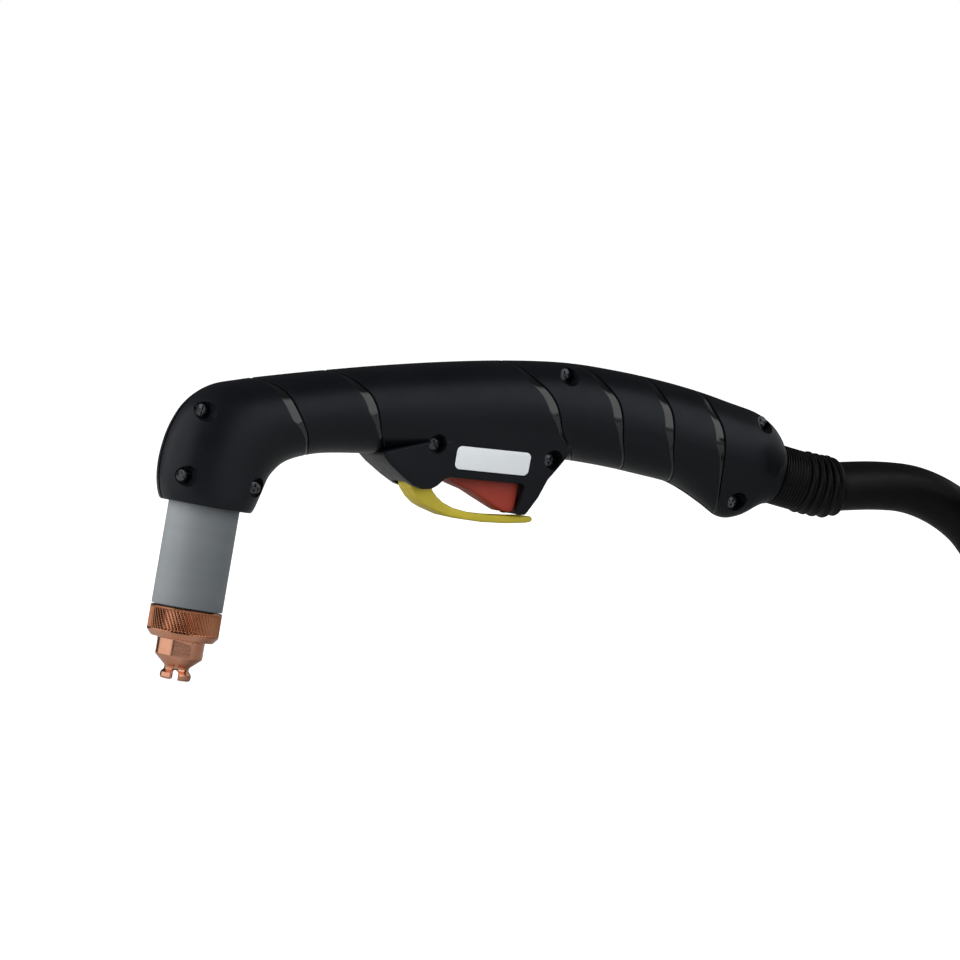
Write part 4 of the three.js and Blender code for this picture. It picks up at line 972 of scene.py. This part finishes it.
def make_screws(seats, zinc):
    for i, (x, z, face) in enumerate(seats):
        head = [(0, 1.0), (1.2, 1.0), (2.2, 1.08), (2.55, 1.22), (2.7, 1.45), (2.7, 1.98), (1.45, 2.0)]
        thread = [(r, low + k * 0.85) for k in range(14) for r, low in ((1.22, 2.5), (1.45, 2.9))]
        profile = head + thread + [(0.9, 15.0), (0, 15.0)]
        screw = bar_y(f"screw_{i + 1}", x, z, profile, 40, face)
        arms = []
        for degrees in (20 + 47 * i, 110 + 47 * i):
            matrix = at(side(x), face, z) @ spin(degrees, "Y")
            arms.append(box_object("arm", (-1.7, 0, -0.38), (1.7, 1.75, 0.38), matrix))
        boolean(screw, "DIFFERENCE", *arms)
        coat(screw, zinc)
        place(screw, "screw", f"shell_screw_{i + 1}", angle=30)


# ---- nozzle end
def make_shield(copper, knurl_copper_painted_shade):
    knurls, columns = 60, 480
    outer = [
        (3.1, 0.35), (3.45, 0.0), (4.9, 0.0), (5.4, 0.2), (5.7, 0.7), (5.75, 1.5), (5.65, 2.3), (5.2, 2.9),
        (4.65, 3.4), (4.5, 4.0), (4.6, 4.7), (4.9, 5.1), (8.1, 7.9), (8.45, 8.2), (8.65, 8.7), (8.65, 14.3),
        (8.85, 14.6), (11.1, 14.75), (11.5, 14.95), (12.9, 16.6), (13.1, 16.95),
    ]
    ring = [(13.15, 17.2 + 8.1 * k / 36) for k in range(37)]
    inner = [
        (13.1, 25.6), (12.85, 25.9), (12.5, 26.0), (10.4, 26.0), (10.4, 17.0), (6.9, 13.6), (6.9, 10.6),
        (3.1, 6.2),
    ]

    def knurl(radius, angle, height):
        on_ring = (radius > 13.12) & (height > 17.0)
        ridge = waves(angle * knurls + (height - 17) * 2.33) ** 0.8
        return radius - on_ring * (0.05 + band(height, 17.25, 18.0, 24.6, 25.25) * 0.5 * ridge)

    nozzle = nozzle_matrix()
    shield = turned("torch_drag_shield", outer + ring + inner, columns, nozzle, copper, knurl)
    cuts = []
    for i in range(4):
        turn = nozzle @ spin(CROWN_TURN + 90 * i, "Z")
        across = turn @ at(0, 0, 2.3) @ spin(90, "Y")
        slot = turned("slot", drum(1.3, 2.2, 9), 28, across)
        boolean(slot, "UNION", box_object("mouth", (2.2, -1.3, -2), (9, 1.3, 2.3), turn))
        cuts.append(slot)
    for i in range(3):
        turn = nozzle @ spin(FLAT_TURN + 120 * i, "Z")
        cuts.append(box_object("flat", (8.05, -6, 8.6), (13, 6, 14.5), turn))
    boolean(shield, "DIFFERENCE", *cuts)
    # The knurled ring takes a darker copy of the copper: painted shade for the dark surroundings that the
    # ring mirrors.
    coat(shield, copper, knurl_copper_painted_shade)
    upright = nozzle.inverted()
    for face in shield.data.polygons:
        spot = upright @ face.center / MM
        face.material_index = int(spot.z > 17.0 and math.hypot(spot.x, spot.y) > 12.4)
    place(shield, "copper", "drag_shield", body="drag_shield", angle=18)


def make_cap(grey):
    profile = [
        (8.0, 17.6), (10.1, 17.6), (10.1, 26.3), (12.5, 26.3), (12.85, 26.42), (13.0, 26.8), (13.0, 40),
        (13.0, 55), (13.0, 68.7), (12.7, 69.0), (10.9, 69.0), (10.9, 30.0), (9.4, 26.0), (9.4, 20.6),
        (8.0, 19.6),
    ]
    cap = turned("torch_cap", profile, 128, nozzle_matrix(), grey)
    place(cap, "cap", "retaining_cap", body="retaining_cap", angle=40)


# ---- trigger and lever
def pivoted(name, outline, pivot, corner, edge, steps, mat, *cutters):
    """A piece as wide as the trigger, with a hole for the pin that it turns on."""
    points = rounded(shifted(outline), corner, 5)
    piece = side_plate(name, points, constant(TRIGGER_HALF), edge, steps, mat)
    pin_hole = bar_y("pin_hole", *pivot, drum(PIN_R + 0.06, -20, 20), 32)
    return boolean(piece, "DIFFERENCE", *cutters, pin_hole)


def make_trigger(red):
    px, pz = TRIGGER_PIVOT
    outline = [
        (px - HUB_R, pz), (px - 2.5, pz - 3.0), (px + 0.5, pz - 6.2), (-6.2, 67.3), (-1.8, 64.5), (4.2, 60.8),
        (6.6, 59.4), (9.0, 58.9), (10.8, 59.2), (11.6, 60.6), (13.3, 69.0), (13.4, 72.4), (9.8, 74.6),
        (3.0, 75.6), (-3.5, 76.9), (px + 1.2, pz + HUB_R - 0.2), (px - 1.2, pz + HUB_R - 0.2),
        (px - 2.6, pz + 2.0),
    ]
    piece = pivoted("torch_trigger", outline, TRIGGER_PIVOT, 2.4, 1.1, 6, red)
    place(piece, "trigger_red", "trigger", body="trigger", angle=35)


def make_lever(yellow):
    px, pz = LEVER_PIVOT
    outline = [
        (px - 3.6, pz + 1.4), (-30.5, 70.9), (-30.1, 68.7), (-27.8, 65.2), (-25.3, 62.7), (-22.2, 60.9),
        (-16.0, 58.2), (-9.0, 56.6), (-2.0, 55.5), (8.0, 54.8), (16.0, 54.8), (18.2, 55.2), (18.6, 56.2),
        (18.0, 57.2), (11.8, 57.4), (2.5, 58.0), (-6.6, 59.2), (-13.1, 61.0), (-17.2, 63.2), (-19.6, 65.4),
        (-21.4, 67.8), (px + HUB_R, pz - 0.6), (px + 2.4, pz + 2.2), (px, pz + HUB_R),
    ]
    spring_room = bar_y("spring_room", px, pz, drum(HUB_R + 1.2, 4.2, 20), 40)
    piece = pivoted("torch_lever", outline, LEVER_PIVOT, 3.0, 0.8, 5, yellow, spring_room)
    place(piece, "lever_yellow", "safety_lever", body="safety_lever", angle=35)


def make_label(white):
    plate = label_plate("label_blank", 0.06, 0.85, 0.0, 0.25, white)
    place(plate, "label", "label_plate", angle=35)


# ---- strain relief
# Along a rib and up it, as shares of its length and height
FINE_RIB = [(0.05, 0), (0.3, 0), (0.42, 0.76), (0.6, 1), (0.8, 0.9), (0.93, 0.4)]
COARSE_RIB = [
    (0.04, 0), (0.2, 0), (0.32, 0.25), (0.42, 0.7), (0.55, 0.97), (0.66, 1), (0.78, 0.85), (0.9, 0.4),
    (0.96, 0.1),
]


def ribs(start, stop, foot, heights, rib):
    """Ribs side by side between two shares of the relief's length, one for each height."""
    step = (stop - start) / len(heights)
    return [(start + step * (i + a), foot + high * b) for i, high in enumerate(heights) for a, b in rib]


def tube(route, marks, columns):
    """Rings round a route in the middle plane; a mark is a share of its length and a radius."""
    line = catmull(route, np.linspace(0, 1, 400))
    reached = np.r_[0, np.cumsum(lengths(np.diff(line, axis=0)))]
    shares, radius = np.array(marks).T

    def spots(share):
        reach = np.clip(share, 0, 1) * reached[-1]
        return np.stack([np.interp(reach, reached, axis) for axis in line.T], -1)

    along = directions(spots(shares + 0.01) - spots(shares - 0.01))
    top = np.cross(along, (0, 1, 0))
    a = round_angles(columns)[:, None]
    around = np.cos(a) * np.array((0, 1, 0)) + np.sin(a) * top[:, None]
    return spots(shares)[:, None] + radius[:, None, None] * around


def make_strain_relief(black_rubber):
    """A smooth collar, eight fine ribs and five coarse ones, on a line that droops to the lead."""
    collar = [
        (0.0, 11.8), (0.145, 11.8), (0.146, 10.6), (0.25, 10.6), (0.251, 11.5), (0.254, 11.8), (0.262, 11.75),
    ]
    fine = ribs(0.265, 0.54, 11.1, [0.5] * 8, FINE_RIB)
    coarse = ribs(0.54, 1, 10.35, [1.75] * 4 + [1], COARSE_RIB)
    coarse[-1] = (1.0, 10.4)
    bore = [(share, LEAD_R + 0.35) for share in np.linspace(1, 0, 24)]
    rings = tube(RELIEF_ROUTE, collar + fine + coarse + bore, 96)
    relief = loft("torch_strain_relief", rings, black_rubber, closed=True, flip=True)
    place(relief, "boot", "strain_relief", angle=50)


# ---- connector
def make_connector(black_rubber, plastic, ring_metal, brass):
    matrix = at(*PLUG) @ spin(90, "Y")
    boot_profile = [(0, 0), (11.2, 0), (11.5, 0.4)]
    for k in range(6):
        z, r = 2 + 3.6 * k, 11.7 + 0.45 * k
        boot_profile += [(r, z), (r, z + 1.4), (r - 0.9, z + 1.7), (r - 0.9, z + 3.2)]
    boot_profile += [(14.6, 24.2), (16.2, 27.6), (16.0, 28), (0, 28)]
    boot = turned("plug_boot", boot_profile, 64, matrix, black_rubber)
    body_profile = [
        (0, 28.2), (16.2, 28.2), (16.6, 28.5), (20.2, 32.6),
        *[(20.6 + 0.04 * k, 33.4 + 2.02 * k) for k in range(11)],
        (21.4, 54.4), (23.2, 56.6), (24.0, 57.6), (24.0, 65.6), (23.6, 66), (18.5, 66), (18.5, 86),
        (18.3, 86.8), (18.0, 87), (15.2, 87), (15.0, 86.8), (15.0, SOCKET_FLOOR), (0, SOCKET_FLOOR),
    ]

    def flutes(radius, angle, height):
        on_grip = band(height, 34, 37, 50, 53) * (radius > 19)
        return radius - on_grip * 0.9 * waves(angle * 18) ** 2

    body = turned("plug_body", body_profile, 216, matrix, plastic, flutes)
    ring_profile = [
        (18.9, 66.4), (24.6, 66.4), (25.0, 66.8), *[(25.0, 67.6 + 1.2 * k) for k in range(13)],
        (25.0, 82.9), (24.7, 83.4), (22.8, 85.7), (22.3, 86), (18.9, 86),
    ]

    def knurl(radius, angle, height):
        on_grip = band(height, 67.6, 69, 80.5, 82) * (radius > 24.9)
        return radius - on_grip * 0.6 * waves(angle * 48)

    ring = turned("plug_ring", ring_profile, 384, matrix, ring_metal, knurl)
    pins = []
    for name, x, y, r, long in PINS:
        tip = 0.35 * r
        rounding = [(r, long - tip), (r - 0.4 * tip, long - 0.3 * tip), (r - tip, long)]
        profile = [(0, 0), (r, 0), *rounding, (0, long)]
        foot = matrix @ at(x, y, SOCKET_FLOOR)
        pin = turned("plug_" + name, profile, 40, foot, brass)
        pins.append(place(pin, "brass", name, angle=35))
    place(boot, "boot", "connector_boot", angle=40)
    place(body, "connector", "connector_body", angle=40)
    place(ring, "ring", "connector_ring", body="connector_ring", angle=40)
    return [boot, body, ring, *pins]


# ---- CAD nodes that stay
def dress(name, mat):
    """Gives a CAD node its finish and small round edges."""
    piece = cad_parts[name]
    coat(piece, mat)
    soften = piece.modifiers.new("edges", "BEVEL")
    soften.width = EDGE_BEVEL * MM
    soften.segments = 2
    soften.limit_method = "ANGLE"
    soften.angle_limit = math.radians(40)
    shade(piece, 38)


def build():
    make_camera()
    make_world()
    softbox("key", -94, 22, 1.3, (1.9, 1.7), 4.6, (1.0, 0.99, 0.97))
    softbox("front", 40, 24, 1.5, (2.1, 1.6), 1.6, (0.92, 0.97, 1.0))
    make_floor()

    jacket = rubber("lead_jacket", (0.0045, 0.0045, 0.0047), 0.42)
    boot_rubber = rubber("boot_rubber", (0.0035, 0.0036, 0.0038), 0.4)
    strap = woven("strap_weave", (0.03, 0.03, 0.034))
    copper = machined("copper", (0.72, 0.33, 0.20), (0.90, 0.46, 0.31), 0.15)
    brass = machined("brass", (0.55, 0.40, 0.17), (0.76, 0.60, 0.30))
    # A darker copy of the copper for the knurled ring: painted shade, not a different metal.
    knurl_copper_painted_shade = machined("copper_knurl_painted_shade", (0.46, 0.18, 0.09), (0.62, 0.27, 0.15), 0.2)
    zinc = machined("zinc", (0.05, 0.053, 0.06), (0.18, 0.19, 0.21), 0.2, 0.0, (1, 1, 1))
    steel = machined("steel", (0.42, 0.43, 0.45), (0.64, 0.65, 0.67), 0.3, 0.0, (1, 1, 1))
    ring_metal = machined("ring_metal", (0.52, 0.53, 0.56), (0.70, 0.71, 0.74), 0.35, 0.0, (1, 0.05, 0.05))
    plug_plastic = tinted("plug_plastic", (0.02, 0.02, 0.022), 0.45)

    lead = make_lead(jacket)
    on_lead = make_ties(strap) + make_connector(boot_rubber, plug_plastic, ring_metal, brass)

    seats = make_casing(shell_plastic(), gloss_plastic())
    make_screws(seats, zinc)
    make_label(label_plastic())
    make_shield(copper, knurl_copper_painted_shade)
    make_cap(cap_plastic())
    make_trigger(tinted("trigger_red", (0.36, 0.035, 0.018), 0.5))
    make_lever(tinted("lever_yellow", (0.56, 0.45, 0.03), 0.5))
    make_strain_relief(boot_rubber)

    ceramic = tinted("ceramic", (0.72, 0.66, 0.54), 0.5)
    dark = tinted("insulator_black", (0.03, 0.03, 0.032), 0.5)
    finishes = {
        copper: ["nozzle", "electrode", "gas_power_tube"],
        brass: ["torch_head", "lead_ferrule"],
        steel: ["trigger_pin", "lever_pin", "trigger_spring", "lever_spring"],
        ceramic: ["swirl_ring"],
        dark: ["head_insulator", "micro_switch"],
        rubber("seal_rubber", (0.02, 0.02, 0.02), 0.45): ["head_seal_ring"],
        tinted("wire_red", (0.5, 0.04, 0.03), 0.4): ["switch_plunger", "switch_wire_1"],
        tinted("wire_blue", (0.03, 0.08, 0.4), 0.4): ["switch_wire_2"],
        tinted("wire_white", (0.75, 0.75, 0.72), 0.4): ["pilot_wire"],
        jacket: ["lead_in_handle"],
    }
    for mat, names in finishes.items():
        for name in names:
            dress(name, mat)


build()
bpy.context.scene.view_settings.view_transform = "Standard"
